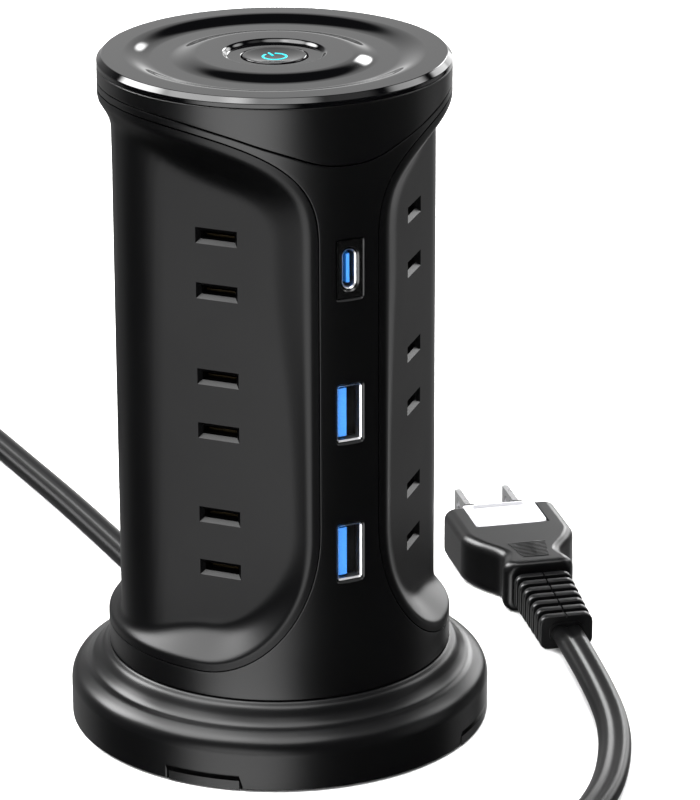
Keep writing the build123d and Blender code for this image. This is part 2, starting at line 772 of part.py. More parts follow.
with BuildPart() as clamp_screws:
    with BuildSketch(Plane.XY.offset(clamp_top)) as _:
        with Locations(*clamp_posts):
            Circle(board_screw[1])
    extrude(amount=1.5)
    with BuildSketch(Plane.XY.offset(clamp_top)) as _:
        with Locations(*clamp_posts):
            Circle(board_screw[0])
    extrude(amount=-5.6)
finish(clamp_screws, "clamp_screws")

lead_diameter = 2.4
lead_spread = 2.2  # of each lead from the middle of the two
for name, side in (("line", -1), ("neutral", 1)):
    with BuildPart() as lead:
        with BuildLine() as lead_path:
            FilletPolyline(
                (side * 1.9, lead_in_end - 0.1, relief_height),
                (side * lead_spread, 16, relief_height),
                (lead_opening[0] + side * lead_spread, 2 * side, 14),
                (lead_opening[0] + side * lead_spread, 2 * side, 32),
                (board_face + 1.9, 6 * side, 35.2),
                radius=3.2,
            )
        start = lead_path.line @ 0
        with BuildSketch(Plane(origin=start, z_dir=lead_path.line % 0)) as _:
            Circle(lead_diameter / 2)
        sweep()
    finish(lead, f"supply_lead_{name}")

# ---------------------------------------------------------------- plug
plug_frame = Plane(
    origin=(*plug_tail, 0),
    x_dir=(cos(radians(plug_heading)), -sin(radians(plug_heading)), 0),
    z_dir=(0, 0, 1),
)
plug_end = relief_length + plug_length  # the end face that the blades come out of
hinge = (plug_end - swing_back, plug_thickness - swing_depth)  # along the plug, height
side_plane = Plane(
    origin=plug_frame.origin, x_dir=plug_frame.y_dir, z_dir=plug_frame.x_dir
)  # along the plug and up, looking across it
along_plug = Axis(plug_frame.origin, plug_frame.y_dir)
carrier_width = 18.8
carrier_low_edge = 6.2  # from the hinge to the lower edge of the carrier's front
carrier_depth = 6.0  # from the hinge to the carrier's back
carrier_recess = (14.2, 10.2)
pocket_floor = 1.4
pocket_back = 6.4  # from the hinge to the pocket's end
pocket_width = carrier_width + 0.3
swing_room = 8.5  # radius of the room the carrier turns in
pin_radius = 0.98
end_rounding, upper_rounding, lower_rounding = 3.0, 1.8, 1.2
tail_half = 8.0  # half of the body's width at the strain relief
half_plug = plug_width / 2
waist = [(half_plug, 47.2), (12.4, 41.0), (7.8, 33.2), (8.9, 26.6)]

with BuildPart() as plug_body:
    with BuildSketch(plug_frame) as _:
        with BuildLine() as _:
            for side in (1, -1):
                Spline(*[(side * x, y) for x, y in waist], tangents=[(0, -1), (side * 0.3, -1)])
                Line((side * half_plug, waist[0][1]), (side * half_plug, plug_end))
                Line((side * waist[-1][0], waist[-1][1]), (side * tail_half, relief_length))
            Line((-half_plug, plug_end), (half_plug, plug_end))
            Line((-tail_half, relief_length), (tail_half, relief_length))
        make_face()
    extrude(amount=plug_thickness)
    end_corners = plug_body.edges().filter_by(Axis.Z).sort_by(along_plug)[-2:]
    fillet(end_corners, end_rounding)
    fillet(plug_body.faces().sort_by(Axis.Z)[-1].edges(), upper_rounding)
    fillet(plug_body.faces().sort_by(Axis.Z)[0].edges(), lower_rounding)
    # pocket of the swinging carrier, open at the end and at the upper face
    with BuildSketch(plug_frame.offset(pocket_floor)) as _:
        with Locations((0, plug_end - (swing_back + pocket_back) / 2 + 5)):
            Rectangle(pocket_width, swing_back + pocket_back + 10)
    extrude(amount=plug_thickness, mode=Mode.SUBTRACT)
    with BuildSketch(side_plane.offset(-pocket_width / 2)) as _:
        with Locations(hinge):
            Circle(swing_room)
        with Locations((hinge[0], pocket_floor - 10)):
            Rectangle(30, 20, mode=Mode.SUBTRACT)
    extrude(amount=pocket_width, mode=Mode.SUBTRACT)
    with BuildSketch(side_plane.offset(-half_plug + 2)) as _:
        with Locations(hinge):
            Circle(pin_radius + 0.02)
    extrude(amount=plug_width - 4, mode=Mode.SUBTRACT)
finish(plug_body, "plug_body")

blade_root = 4.0  # of each blade's length, inside the carrier
blade_hole = (12.6, 1.5)  # from the plug's end, and its radius
sleeve_size = (2.4, 4.4, 7.2)  # thickness, length, width

with BuildPart() as swing_carrier:
    with BuildSketch(side_plane.offset(-carrier_width / 2)) as _:
        along, up = hinge
        with BuildLine() as _:
            Polyline(
                (along - carrier_low_edge, up),
                (along - carrier_low_edge, plug_thickness),
                (plug_end, plug_thickness),
                (plug_end, up - carrier_depth),
                (along, up - carrier_depth),
            )
            ThreePointArc(
                (along, up - carrier_depth),
                (along - 4.3, up - 4.3),
                (along - carrier_low_edge, up),
            )
        make_face()
    extrude(amount=carrier_width)
    # shallow recess in its face
    with BuildSketch(plug_frame.offset(plug_thickness)) as _:
        with Locations((0, plug_end - 7.0)):
            RectangleRounded(*carrier_recess, 1.0)
    extrude(amount=-0.8, mode=Mode.SUBTRACT)
    with BuildSketch(side_plane.offset(-carrier_width / 2 - 1)) as _:
        with Locations(hinge):
            Circle(pin_radius + 0.07)
    extrude(amount=carrier_width + 2, mode=Mode.SUBTRACT)
    for side in (1, -1):
        with BuildSketch(side_plane.offset(side * blade_pitch / 2 - blade_size[0] / 2)) as _:
            with Locations((plug_end - blade_root / 2, hinge[1])):
                Rectangle(blade_root, blade_size[2])
        extrude(amount=blade_size[0], mode=Mode.SUBTRACT)
finish(swing_carrier, "swing_carrier")

for name, side in (("left", -1), ("right", 1)):
    with BuildPart() as blade:
        with BuildSketch(side_plane.offset(side * blade_pitch / 2 - blade_size[0] / 2)) as _:
            with Locations((plug_end + (blade_size[1] - blade_root) / 2, hinge[1])):
                Rectangle(blade_size[1] + blade_root, blade_size[2])
            with Locations((plug_end + blade_hole[0], hinge[1])):
                Circle(blade_hole[1], mode=Mode.SUBTRACT)
        extrude(amount=blade_size[0])
        tip = blade.faces().sort_by(along_plug)[-1]
        chamfer(tip.edges(), 0.45)
    finish(blade, f"blade_{name}")

with BuildPart() as blade_sleeves:
    for side in (1, -1):
        with BuildSketch(side_plane.offset(side * blade_pitch / 2 - sleeve_size[0] / 2)) as _:
            with Locations((plug_end + sleeve_size[1] / 2, hinge[1])):
                Rectangle(*sleeve_size[1:])
        extrude(amount=sleeve_size[0])
        with BuildSketch(side_plane.offset(side * blade_pitch / 2 - blade_size[0] / 2)) as _:
            with Locations((plug_end + sleeve_size[1] / 2, hinge[1])):
                Rectangle(sleeve_size[1] + 0.6, blade_size[2])
        extrude(amount=blade_size[0], mode=Mode.SUBTRACT)
finish(blade_sleeves, "blade_sleeves")

with BuildPart() as swing_pin:
    with BuildSketch(side_plane.offset(-half_plug + 2.1)) as _:
        with Locations(hinge):
            Circle(pin_radius)
    extrude(amount=plug_width - 4.2)
finish(swing_pin, "swing_pin")

plug_relief_tip = (13.2, 8.5)
plug_relief_root = (14.8, 9.6)
plug_groove_start, plug_groove_pitch, plug_groove_width = 3.0, 3.42, 1.45
plug_relief_core = (8.8, 5.4)
with BuildPart() as plug_relief:
    near_plane = Plane(origin=plug_frame.origin, x_dir=plug_frame.x_dir, z_dir=plug_frame.y_dir)
    with BuildSketch(near_plane) as _:
        with Locations((0, -plug_relief_tip[1] / 2 - 0.05)):
            RectangleRounded(*plug_relief_tip, 2.2)
    far_plane = Plane(
        origin=plug_frame.from_local_coords((0, relief_length, 0)),
        x_dir=plug_frame.x_dir,
        z_dir=plug_frame.y_dir,
    )
    with BuildSketch(far_plane) as _:
        with Locations((0, -plug_thickness / 2)):
            RectangleRounded(*plug_relief_root, 2.2)
    loft()
    # ribs: shallow grooves all round between them
    for i in range(7):
        along = plug_groove_start + plug_groove_pitch * i
        level = 4.3 + (plug_thickness / 2 - 4.3) * along / relief_length
        with Locations(plug_frame):
            with Locations((0, along, level)):
                Box(20, plug_groove_width, 20, mode=Mode.SUBTRACT)
                Box(plug_relief_core[0], plug_groove_width + 0.1, plug_relief_core[1])
finish(plug_relief, "plug_relief")

# ---------------------------------------------------------------- cord
coil_out = 4.0  # from the middle of the coil's bundle to its outer and inner turns
coil_exit_height = 6.4  # the last turn lies on the second layer


def cord_radii(points):
    """The radius of each bend of a route: 0.45 of its shorter run over the tangent of half the turn."""
    radii = []
    for before, here, after in zip(points, points[1:], points[2:]):
        incoming, outgoing = Vector(here) - Vector(before), Vector(after) - Vector(here)
        turn = radians(incoming.get_angle(outgoing))
        radii.append(0.45 * min(incoming.length, outgoing.length) / tan(turn / 2))
    return radii


def cord_tube(points, name):
    """A plain flat tube along a route of straight runs joined by tangent arcs."""
    radii = cord_radii(points)
    with BuildPart() as tube:
        with BuildLine() as route:
            FilletPolyline(*points, radius=radii)
        path = route.wire()
        start_direction = path % 0
        across = Vector(start_direction.Y, -start_direction.X, 0)
        with BuildSketch(Plane(origin=path @ 0, x_dir=across, z_dir=start_direction)) as section:
            SlotOverall(cord_width, cord_thickness)
        sweep(path=path)
    expected = section.sketch.area * path.length
    print(f"{name}: length {path.length:.1f}, radii {[round(r) for r in radii]}")
    print(f"{name}: volume {tube.part.volume:.0f}, section times length {expected:.0f}")
    finish(tube, name)
    return path.length


coil_x, coil_y = coil_centre
coil_edge = coil_radius + coil_out
# from the base to the coil: straight back, a hair to the left, then on to the coil's right side
to_coil = [
    (0, relief_end, cord_rest),
    (0.6, 122, cord_rest),
    (-0.6, 172, cord_rest),
    (coil_x + coil_edge, coil_y - 4, cord_rest),
]
# from the coil's left side along the tower's left, round its front and back to the plug
to_plug = [
    (coil_x - coil_edge, coil_y - 2, coil_exit_height),
    (-89.6, 199, 5.9),
    (-89.4, 171, cord_rest),
    (-85.6, 137, cord_rest),
    (-85.2, 99, cord_rest),
    (-89.0, 61, cord_rest),
    (-93.4, 23, cord_rest),
    (-93.0, -16, cord_rest),
    (-83.0, -53, cord_rest),
    (-59.0, -83, cord_rest),
    (-26.0, -102, cord_rest),
    (11.0, -104, cord_rest),
    (40.0, -85, cord_rest),
    (59.0, -58, cord_rest),
    (69.6, -30, 2.6),
    (*plug_tail, 4.2),
]
run_lengths = [cord_tube(to_coil, "cord_to_coil"), cord_tube(to_plug, "cord_to_plug")]

with BuildPart() as cord_coil:
    with BuildSketch(Plane.XZ) as _:
        with Locations((coil_radius, coil_height / 2 + 0.05)):
            RectangleRounded(coil_width, coil_height, 2.0)
    revolve(axis=Axis.Z)
cord_coil.part.locate(Location((coil_x, coil_y, 0)))
finish(cord_coil, "cord_coil")

coil_length = coil_turns * 2 * pi * coil_radius
print(f"cord: {sum(run_lengths) + coil_length:.0f} mm in all, {coil_length:.0f} mm of it coiled")
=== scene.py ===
"""The looks of a tower power strip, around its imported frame: metres, +Z up, USB ports to -Y."""

import json
from math import atan, cos, pi, radians, sin, sqrt

import bmesh
import bpy
from mathutils import Matrix, Vector


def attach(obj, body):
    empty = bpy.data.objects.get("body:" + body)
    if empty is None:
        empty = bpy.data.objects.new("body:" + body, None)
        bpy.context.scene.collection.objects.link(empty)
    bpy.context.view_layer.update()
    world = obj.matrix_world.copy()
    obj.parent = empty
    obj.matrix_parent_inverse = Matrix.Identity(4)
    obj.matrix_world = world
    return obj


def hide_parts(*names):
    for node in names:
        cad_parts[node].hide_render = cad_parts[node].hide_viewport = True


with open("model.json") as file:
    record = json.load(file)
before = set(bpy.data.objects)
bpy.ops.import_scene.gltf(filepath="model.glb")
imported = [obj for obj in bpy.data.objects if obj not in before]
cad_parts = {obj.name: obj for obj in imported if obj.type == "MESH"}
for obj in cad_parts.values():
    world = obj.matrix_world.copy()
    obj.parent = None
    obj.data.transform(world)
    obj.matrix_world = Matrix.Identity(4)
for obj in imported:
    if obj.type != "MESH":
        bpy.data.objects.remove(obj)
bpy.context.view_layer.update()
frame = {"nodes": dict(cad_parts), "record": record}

MM = 0.001

# ---------------------------------------------------------------- sizes in mm, as in the CAD
tower_radius = 39.6
tower_wall = 2.4
base_radius = 48.6
base_top = 18.3
cap_seam = 156.1
cap_top = 158.4
seam = 0.12  # half of the gap along a casing joint
face_distance = 32.5  # from the axis to an outlet face
face_turn = 42.4  # from the middle of a side panel to the direction of each of its faces
corner_radius = 16.5  # between two outlet faces
column_turn = 10.4  # from the middle of a column to the edge of a side panel
panel_bottom, panel_top = 24.2, 151.0
panel_half = tower_radius * radians(90 - column_turn)  # half of a panel's width round the tower
panel_corner_width, panel_corner_low = 28.0, 34.0
panel_arch, arch_power = 27.0, 2.75  # the panel's upper edge is a superellipse
top_outlet, outlet_pitch = 118.2, 32.7
outlet_heights = [top_outlet - outlet_pitch * i for i in range(3)]
pole_pitch = 12.7
slot_size = (10.0, 3.7, 0.9)  # width, height, bevel
face_azimuths = {"left": (180 + face_turn, 180 - face_turn), "right": (-face_turn, face_turn)}
port_heights = (119.1, 85.8, 52.9)
port_width, port_length = 6.3, 13.5
cord_width, cord_thickness = 7.6, 4.2
plug_tail = Vector((76.0, 0.0, 0.0))
plug_heading = radians(12)
plug_width, plug_thickness = 29.2, 13.0
relief_length, plug_end = 24.5, 65.8  # along the plug, from the end of the cord
hinge_along, hinge_up = 56.8, 7.8

# ---------------------------------------------------------------- camera
focal_length, sensor_width = 184.7, 36.0
shift_across, shift_up = -0.0319, 0.009
clip_near, clip_far = 0.05, 50.0
camera_place = Vector((-0.35610, -0.80739, 0.39686))
camera_right = Vector((0.9044, -0.4266, 0.0)).normalized()
camera_forward = Vector((0.4007, 0.8494, -0.3435)).normalized()


def add_camera():
    data = bpy.data.cameras.new("camera")
    data.lens, data.sensor_width = focal_length, sensor_width
    data.shift_x, data.shift_y = shift_across, shift_up
    data.clip_start, data.clip_end = clip_near, clip_far
    camera = bpy.data.objects.new("camera", data)
    up = camera_right.cross(camera_forward)
    turn = Matrix((camera_right, up, -camera_forward)).transposed().to_4x4()
    camera.matrix_world = Matrix.Translation(camera_place) @ turn
    bpy.context.collection.objects.link(camera)
    bpy.context.scene.camera = camera


add_camera()


# ---------------------------------------------------------------- materials
cloud_size = 60  # of the patches in which the gloss changes, in grains
drawn_dark, drawn_smooth, drawn_rough = 0.88, 0.75, 1.3  # factors in the drawing lines of metal
sign_body, sign_dim = 0.4, 0.8  # factors on the colour of the lit sign


def new_material(name):
    material = bpy.data.materials.new(name)
    material.use_nodes = True
    return material, material.node_tree.nodes, material.node_tree.links


def moulded(name, colour, roughness, grain=2600, relief=0.00001, tint=0.12, spread=0.05, **sockets):
    """Moulded plastic or rubber: a fine grain in its colour, its gloss and its surface."""
    material, nodes, links = new_material(name)
    shader = nodes["Principled BSDF"]
    for socket, value in sockets.items():
        shader.inputs[socket.replace("_", " ")].default_value = value
    place = nodes.new("ShaderNodeTexCoord")
    fine = nodes.new("ShaderNodeTexNoise")
    fine.inputs["Scale"].default_value = grain
    fine.inputs["Detail"].default_value = 3
    cloudy = nodes.new("ShaderNodeTexNoise")
    cloudy.inputs["Scale"].default_value = grain / cloud_size
    colours = nodes.new("ShaderNodeValToRGB")
    colours.color_ramp.elements[0].position = 0.3
    colours.color_ramp.elements[1].position = 0.7
    colours.color_ramp.elements[0].color = (*[c * (1 - tint) for c in colour], 1)
    colours.color_ramp.elements[1].color = (*[min(1, c * (1 + tint)) for c in colour], 1)
    gloss = nodes.new("ShaderNodeMapRange")
    gloss.inputs["To Min"].default_value = roughness - spread
    gloss.inputs["To Max"].default_value = roughness + spread
    bump = nodes.new("ShaderNodeBump")
    bump.inputs["Distance"].default_value = relief
    bump.inputs["Strength"].default_value = 0.5
    for noise in (fine, cloudy):
        links.new(place.outputs["Object"], noise.inputs["Vector"])
    links.new(fine.outputs["Fac"], colours.inputs["Fac"])
    links.new(cloudy.outputs["Fac"], gloss.inputs["Value"])
    links.new(fine.outputs["Fac"], bump.inputs["Height"])
    links.new(colours.outputs["Color"], shader.inputs["Base Color"])
    links.new(gloss.outputs["Result"], shader.inputs["Roughness"])
    links.new(bump.outputs["Normal"], shader.inputs["Normal"])
    return material


def metal(name, colour, roughness, brush=(900, 900, 6000)):
    """Sheet metal with fine drawing lines."""
    material, nodes, links = new_material(name)
    shader = nodes["Principled BSDF"]
    shader.inputs["Metallic"].default_value = 1.0
    place = nodes.new("ShaderNodeTexCoord")
    stretch = nodes.new("ShaderNodeMapping")
    stretch.inputs["Scale"].default_value = brush
    noise = nodes.new("ShaderNodeTexNoise")
    noise.inputs["Scale"].default_value = 1.0
    noise.inputs["Detail"].default_value = 4
    colours = nodes.new("ShaderNodeValToRGB")
    colours.color_ramp.elements[0].color = (*[c * drawn_dark for c in colour], 1)
    colours.color_ramp.elements[1].color = (*colour, 1)
    gloss = nodes.new("ShaderNodeMapRange")
    gloss.inputs["To Min"].default_value = roughness * drawn_smooth
    gloss.inputs["To Max"].default_value = roughness * drawn_rough
    links.new(place.outputs["Object"], stretch.inputs["Vector"])
    links.new(stretch.outputs["Vector"], noise.inputs["Vector"])
    links.new(noise.outputs["Fac"], colours.inputs["Fac"])
    links.new(noise.outputs["Fac"], gloss.inputs["Value"])
    links.new(colours.outputs["Color"], shader.inputs["Base Color"])
    links.new(gloss.outputs["Result"], shader.inputs["Roughness"])
    return material


def glowing(name, colour, strength):
    """The lit sign of the button, with a faint unevenness in its light."""
    material, nodes, links = new_material(name)
    shader = nodes["Principled BSDF"]
    shader.inputs["Base Color"].default_value = (*[c * sign_body for c in colour], 1)
    shader.inputs["Roughness"].default_value = 0.35
    shader.inputs["Emission Strength"].default_value = strength
    place = nodes.new("ShaderNodeTexCoord")
    noise = nodes.new("ShaderNodeTexNoise")
    noise.inputs["Scale"].default_value = 400
    colours = nodes.new("ShaderNodeValToRGB")
    colours.color_ramp.elements[0].color = (*[c * sign_dim for c in colour], 1)
    colours.color_ramp.elements[1].color = (*colour, 1)
    links.new(place.outputs["Object"], noise.inputs["Vector"])
    links.new(noise.outputs["Fac"], colours.inputs["Fac"])
    links.new(colours.outputs["Color"], shader.inputs["Emission Color"])
    return material


casing_black = (0.0012, 0.0012, 0.0014)
gloss_black = (0.001, 0.001, 0.0012)
dull_black = (0.0015, 0.0015, 0.0017)
contact_black = (0.004, 0.004, 0.004)
materials = {
    "base_plastic": moulded("base_plastic", dull_black, 0.3, Specular_IOR_Level=0.34),
    "tower_plastic": moulded("tower_plastic", casing_black, 0.32),
    "panel_plastic": moulded("panel_plastic", casing_black, 0.36, Specular_IOR_Level=0.27),
    "cap_plastic": moulded("cap_plastic", gloss_black, 0.05, relief=0.000001, spread=0.01),
    "button_plastic": moulded("button_plastic", gloss_black, 0.08, relief=0.000002, spread=0.02),
    "light_guide": glowing("light_guide", (0.0, 0.6, 0.7), 0.9),
    "switch_plastic": moulded("switch_plastic", (0.05, 0.05, 0.05), 0.5),
    "led_lens": moulded("led_lens", (0.6, 0.9, 0.95), 0.15),
    "circuit_board": moulded("circuit_board", (0.02, 0.16, 0.06), 0.45, grain=700),
    "inner_plastic": moulded("inner_plastic", (0.75, 0.73, 0.68), 0.5),
    "contact_plastic": moulded("contact_plastic", contact_black, 0.6, Specular_IOR_Level=0.1),
    "transformer_tape": moulded("transformer_tape", (0.85, 0.65, 0.08), 0.4),
    "capacitor_sleeve": moulded("capacitor_sleeve", (0.03, 0.03, 0.12), 0.3),
    "relay_case": moulded("relay_case", (0.03, 0.1, 0.4), 0.3),
    "screw_steel": metal("screw_steel", (0.6, 0.6, 0.6), 0.3),
    "port_steel": metal("port_steel", (0.9, 0.9, 0.91), 0.35),
    "tongue_blue": moulded("tongue_blue", (0.03, 0.22, 0.7), 0.3),
    "bezel_plastic": moulded("bezel_plastic", (0.002, 0.002, 0.002), 0.25, Specular_IOR_Level=0.8),
    "foot_rubber": moulded("foot_rubber", (0.03, 0.03, 0.03), 0.75),
    "cord_jacket": moulded("cord_jacket", dull_black, 0.36, grain=1800, Specular_IOR_Level=0.3),
    # the brass colour is made far darker than brass: painted shade on the contacts deep in the
    # slots
    "contact_brass": metal("contact_brass", (0.10, 0.075, 0.04), 0.5),
    "wire_black": moulded("wire_black", (0.02, 0.02, 0.02), 0.45),
    "wire_white": moulded("wire_white", (0.8, 0.8, 0.78), 0.45),
    "plug_plastic": moulded("plug_plastic", (0.0018, 0.0018, 0.002), 0.34),
    "carrier_plastic": moulded("carrier_plastic", (0.52, 0.52, 0.54), 0.25, tint=0.02),
    "blade_metal": metal("blade_metal", (0.78, 0.78, 0.79), 0.28, brush=(300, 300, 300)),
    "sleeve_plastic": moulded("sleeve_plastic", (0.008, 0.008, 0.008), 0.4),
}
node_slots = {row["node"]: row["material_slot"] for row in frame["record"]["subparts"]}
for node, node_object in frame["nodes"].items():
    node_object.data.materials.clear()
    node_object.data.materials.append(materials[node_slots[node]])


# ---------------------------------------------------------------- mesh helpers
unmoved = Matrix.Identity(4)
weld, too_small = 0.004, 0.002  # points nearer than this become one; edges shorter than this go
cutters = []
even_shading = ("WEIGHTED_NORMAL", {"weight": 50, "keep_sharp": True})


def add_piece(name, mesh, slot, *nodes, body="tower"):
    """A new piece of the object, with a slot's material, in the place of the named CAD nodes."""
    piece = bpy.data.objects.new(name, mesh)
    bpy.context.collection.objects.link(piece)
    mesh.materials.clear()
    mesh.materials.append(materials[slot])
    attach(piece, body)
    if nodes:
        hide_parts(*nodes)
    return piece


def mesh_from(points, faces, place=unmoved):
    """A mesh of points in millimetres, welded, with its faces turned outwards."""
    mesh = bpy.data.meshes.new("mesh")
    scale = Matrix.Scale(MM, 4)
    mesh.from_pydata([scale @ (place @ Vector(p)) for p in points], [], faces)
    shape = bmesh.new()
    shape.from_mesh(mesh)
    bmesh.ops.remove_doubles(shape, verts=shape.verts, dist=weld * MM)
    bmesh.ops.dissolve_degenerate(shape, edges=shape.edges, dist=too_small * MM)
    bmesh.ops.recalc_face_normals(shape, faces=shape.faces)
    for face in shape.faces:
        face.smooth = True
    shape.to_mesh(mesh)
    shape.free()
    return mesh


def grid_faces(rows, columns, close_rows=False, close_columns=False, start=0):
    """Quads between neighbouring rows of a grid of points."""
    last_row = rows if close_rows else rows - 1
    last_column = columns if close_columns else columns - 1
    return [
        tuple(
            start + (i + a) % rows * columns + (j + b) % columns
            for a, b in ((0, 0), (0, 1), (1, 1), (1, 0))
        )
        for i in range(last_row)
        for j in range(last_column)
    ]


def rectangle(left, right, low, high):
    return [(left, low), (right, low), (right, high), (left, high)]


def level(outline, height):
    """An outline (x, y), lying at a height."""
    return [(x, y, height) for x, y in outline]


def upright(outline, along):
    """An outline (x, z), standing across the y axis."""
    return [(x, along, z) for x, z in outline]


def smooth_step(value, low, high):
    t = min(1, max(0, (value - low) / (high - low)))
    return t * t * (3 - 2 * t)


def hermite(t):
    """The weights of a start, its slope, an end and its slope, at t of the way."""
    return 2 * t**3 - 3 * t**2 + 1, t**3 - 2 * t**2 + t, 3 * t**2 - 2 * t**3, t**3 - t**2


def smooth_through(points, first, last, steps):
    """A smooth curve through points, with its direction at both ends."""
    slopes = [Vector(first).normalized() * (Vector(points[1]) - Vector(points[0])).length]
    slopes += [(Vector(c) - Vector(a)) / 2 for a, c in zip(points, points[2:])]
    slopes.append(Vector(last).normalized() * (Vector(points[-1]) - Vector(points[-2])).length)
    curve = []
    for k in range(len(points) - 1):
        start, end = Vector(points[k]), Vector(points[k + 1])
        for i in range(steps):
            w0, w1, w2, w3 = hermite(i / steps)
            curve.append(tuple(start * w0 + slopes[k] * w1 + end * w2 + slopes[k + 1] * w3))
    return curve + [points[-1]]


def rounded(points, radii, steps=5):
    """A closed outline in which each corner is an arc; one radius for all corners, or a list."""
    radii = radii if isinstance(radii, (list, tuple)) else [radii] * len(points)
    outline = []
    for i, (point, radius) in enumerate(zip(points, radii)):
        here = Vector(point)
        before = Vector(points[i - 1]) - here
        after = Vector(points[(i + 1) % len(points)]) - here
        if radius <= 0:
            outline.append(tuple(here))
            continue
        half = before.angle(after) / 2
        reach = radius / max(1e-6, abs(sin(half) / cos(half)))
        reach = min(reach, 0.49 * before.length, 0.49 * after.length)
        start, end = here + before.normalized() * reach, here + after.normalized() * reach
        for k in range(steps + 1):
            t = k / steps
            # a rational arc: a circle when both arms are alike
            w0, w1, w2 = (1 - t) ** 2, 2 * t * (1 - t) * sin(half), t * t
            outline.append(tuple((start * w0 + here * w1 + end * w2) / (w0 + w1 + w2)))
    return outline


def revolved(profile, segments):
    """A closed outline of (radius, height), turned about the tower's axis."""
    points = [
        (radius * cos(2 * pi * k / segments), radius * sin(2 * pi * k / segments), height)
        for k in range(segments)
        for radius, height in profile
    ]
    faces = grid_faces(segments, len(profile), close_rows=True, close_columns=True)
    return mesh_from(points, faces)


def loft(outlines, place=unmoved):
    """A closed body through outlines of equal length, each a list of points."""
    count = len(outlines[0])
    points = [point for outline in outlines for point in outline]
    faces = grid_faces(len(outlines), count, close_columns=True)
    faces += [tuple(range(count))[::-1], tuple(range(len(points) - count, len(points)))]
    return mesh_from(points, faces, place)


def prism(outline, low, high, place=unmoved):
    """A closed outline (x, y), drawn from low to high."""
    return loft([level(outline, low), level(outline, high)], place)


def joined(meshes):
    """Several meshes as one."""
    shape = bmesh.new()
    for mesh in meshes:
        shape.from_mesh(mesh)
    mesh = bpy.data.meshes.new("joined")
    shape.to_mesh(mesh)
    shape.free()
    return mesh


def applied(mesh, *steps):
    """The mesh after modifiers, each a pair of its kind and its settings."""
    holder = bpy.data.objects.new("holder", mesh)
    bpy.context.collection.objects.link(holder)
    for kind, settings in steps:
        modifier = holder.modifiers.new(kind.lower(), kind)
        for setting, value in settings.items():
            setattr(modifier, setting, value)
    bpy.context.view_layer.update()
    shown = holder.evaluated_get(bpy.context.evaluated_depsgraph_get())
    result = bpy.data.meshes.new_from_object(shown)
    bpy.data.objects.remove(holder)
    return result


def crisp(mesh, angle):
    """Marks the edges that turn by more than an angle as sharp."""
    mesh.set_sharp_from_angle(angle=radians(angle))
    return mesh


def edged(width, angle=35):
    """A small round along the sharp edges."""
    limit = {"limit_method": "ANGLE", "angle_limit": radians(angle)}
    return ("BEVEL", {"width": width * MM, "segments": 2, **limit})


def cut_by(*meshes):
    """Takes the space of closed meshes out of a piece; meshes that overlap need a cut each."""
    cutter = bpy.data.objects.new("cutter", joined(meshes))
    bpy.context.collection.objects.link(cutter)
    cutters.append(cutter)
    return ("BOOLEAN", {"operation": "DIFFERENCE", "object": cutter, "solver": "EXACT"})


def carved(mesh, *cuts, angle=33):
    """A mesh after its cuts, with sharp edges where it turns by more than an angle."""
    return applied(crisp(applied(mesh, *cuts), angle), even_shading)


def azimuth_place(azimuth, distance=0.0):
    """From a drawing (x across, y up, z outwards) to a plane that looks along an azimuth."""
    angle = radians(azimuth)
    out = Vector((cos(angle), sin(angle), 0))
    across = Vector((-sin(angle), cos(angle), 0))
    turn = Matrix((across, (0, 0, 1), out)).transposed().to_4x4()
    return Matrix.Translation(out * distance) @ turn


# ---------------------------------------------------------------- cord
rest = 2.15  # height of the cord's middle where it lies on the floor
coil_centre = Vector((-46.0, 226.0, 0.0))
turn_outer, turn_inner = 43.0, 35.0  # radii of the coil's turns
layers = (rest, 6.4, 10.65)
points_per_turn = 16
to_coil = [(0, 73, rest), (0.6, 122, rest), (-0.6, 172, rest)]
to_plug = [
    (-89.6, 199, 5.9), (-89.4, 171, rest), (-85.6, 137, rest), (-85.2, 99, rest),
    (-89.0, 61, rest), (-93.4, 23, rest), (-93.0, -16, rest), (-83.0, -53, rest),
    (-59.0, -83, rest), (-26.0, -102, rest), (11.0, -104, rest), (40.0, -85, rest),
    (59.0, -58, rest), (69.6, -30, 2.6), (76.0, 0.0, 4.2),
]
# where the winding changes its place: turns done, radius, height
winding = [
    (0.0, turn_outer, layers[0]), (0.80, turn_outer, layers[0]), (0.92, turn_inner, layers[0]),
    (1.72, turn_inner, layers[0]), (1.80, turn_inner, layers[1]), (2.72, turn_inner, layers[1]),
    (2.80, turn_inner, layers[2]), (3.60, turn_inner, layers[2]), (3.72, turn_outer, layers[2]),
    (4.54, turn_outer, layers[2]), (4.66, turn_outer, layers[1]), (5.5, turn_outer, layers[1]),
]


def winding_point(turns):
    """The cord's middle after a number of turns of the coil."""
    for before, after in zip(winding, winding[1:]):
        if turns <= after[0] + 1e-9:
            break
    t = smooth_step(turns, before[0], after[0])
    radius, height = (before[k] + (after[k] - before[k]) * t for k in (1, 2))
    radius /= (3 + cos(2 * pi / points_per_turn)) / 4  # the spline runs inside its control points
    angle = 2 * pi * turns
    return (coil_centre.x + radius * cos(angle), coil_centre.y + radius * sin(angle), height)


def route_points():
    """Points along the cord's smooth line, in millimetres."""
    turns = winding[-1][0]
    steps = round(turns * points_per_turn)
    coil = [winding_point(turns * i / steps) for i in range(steps + 1)]
    controls = to_coil + coil + to_plug
    curve = bpy.data.curves.new("route", "CURVE")
    curve.dimensions = "3D"
    spline = curve.splines.new("NURBS")
    spline.points.add(len(controls) - 1)
    for point, control in zip(spline.points, controls):
        point.co = (*[c * MM for c in control], 1)
    spline.order_u = 3
    spline.use_endpoint_u = True
    spline.resolution_u = 8
    holder = bpy.data.objects.new("route", curve)
    line = bpy.data.meshes.new_from_object(holder)
    points = [vertex.co / MM for vertex in line.vertices]
    bpy.data.objects.remove(holder)
    return points


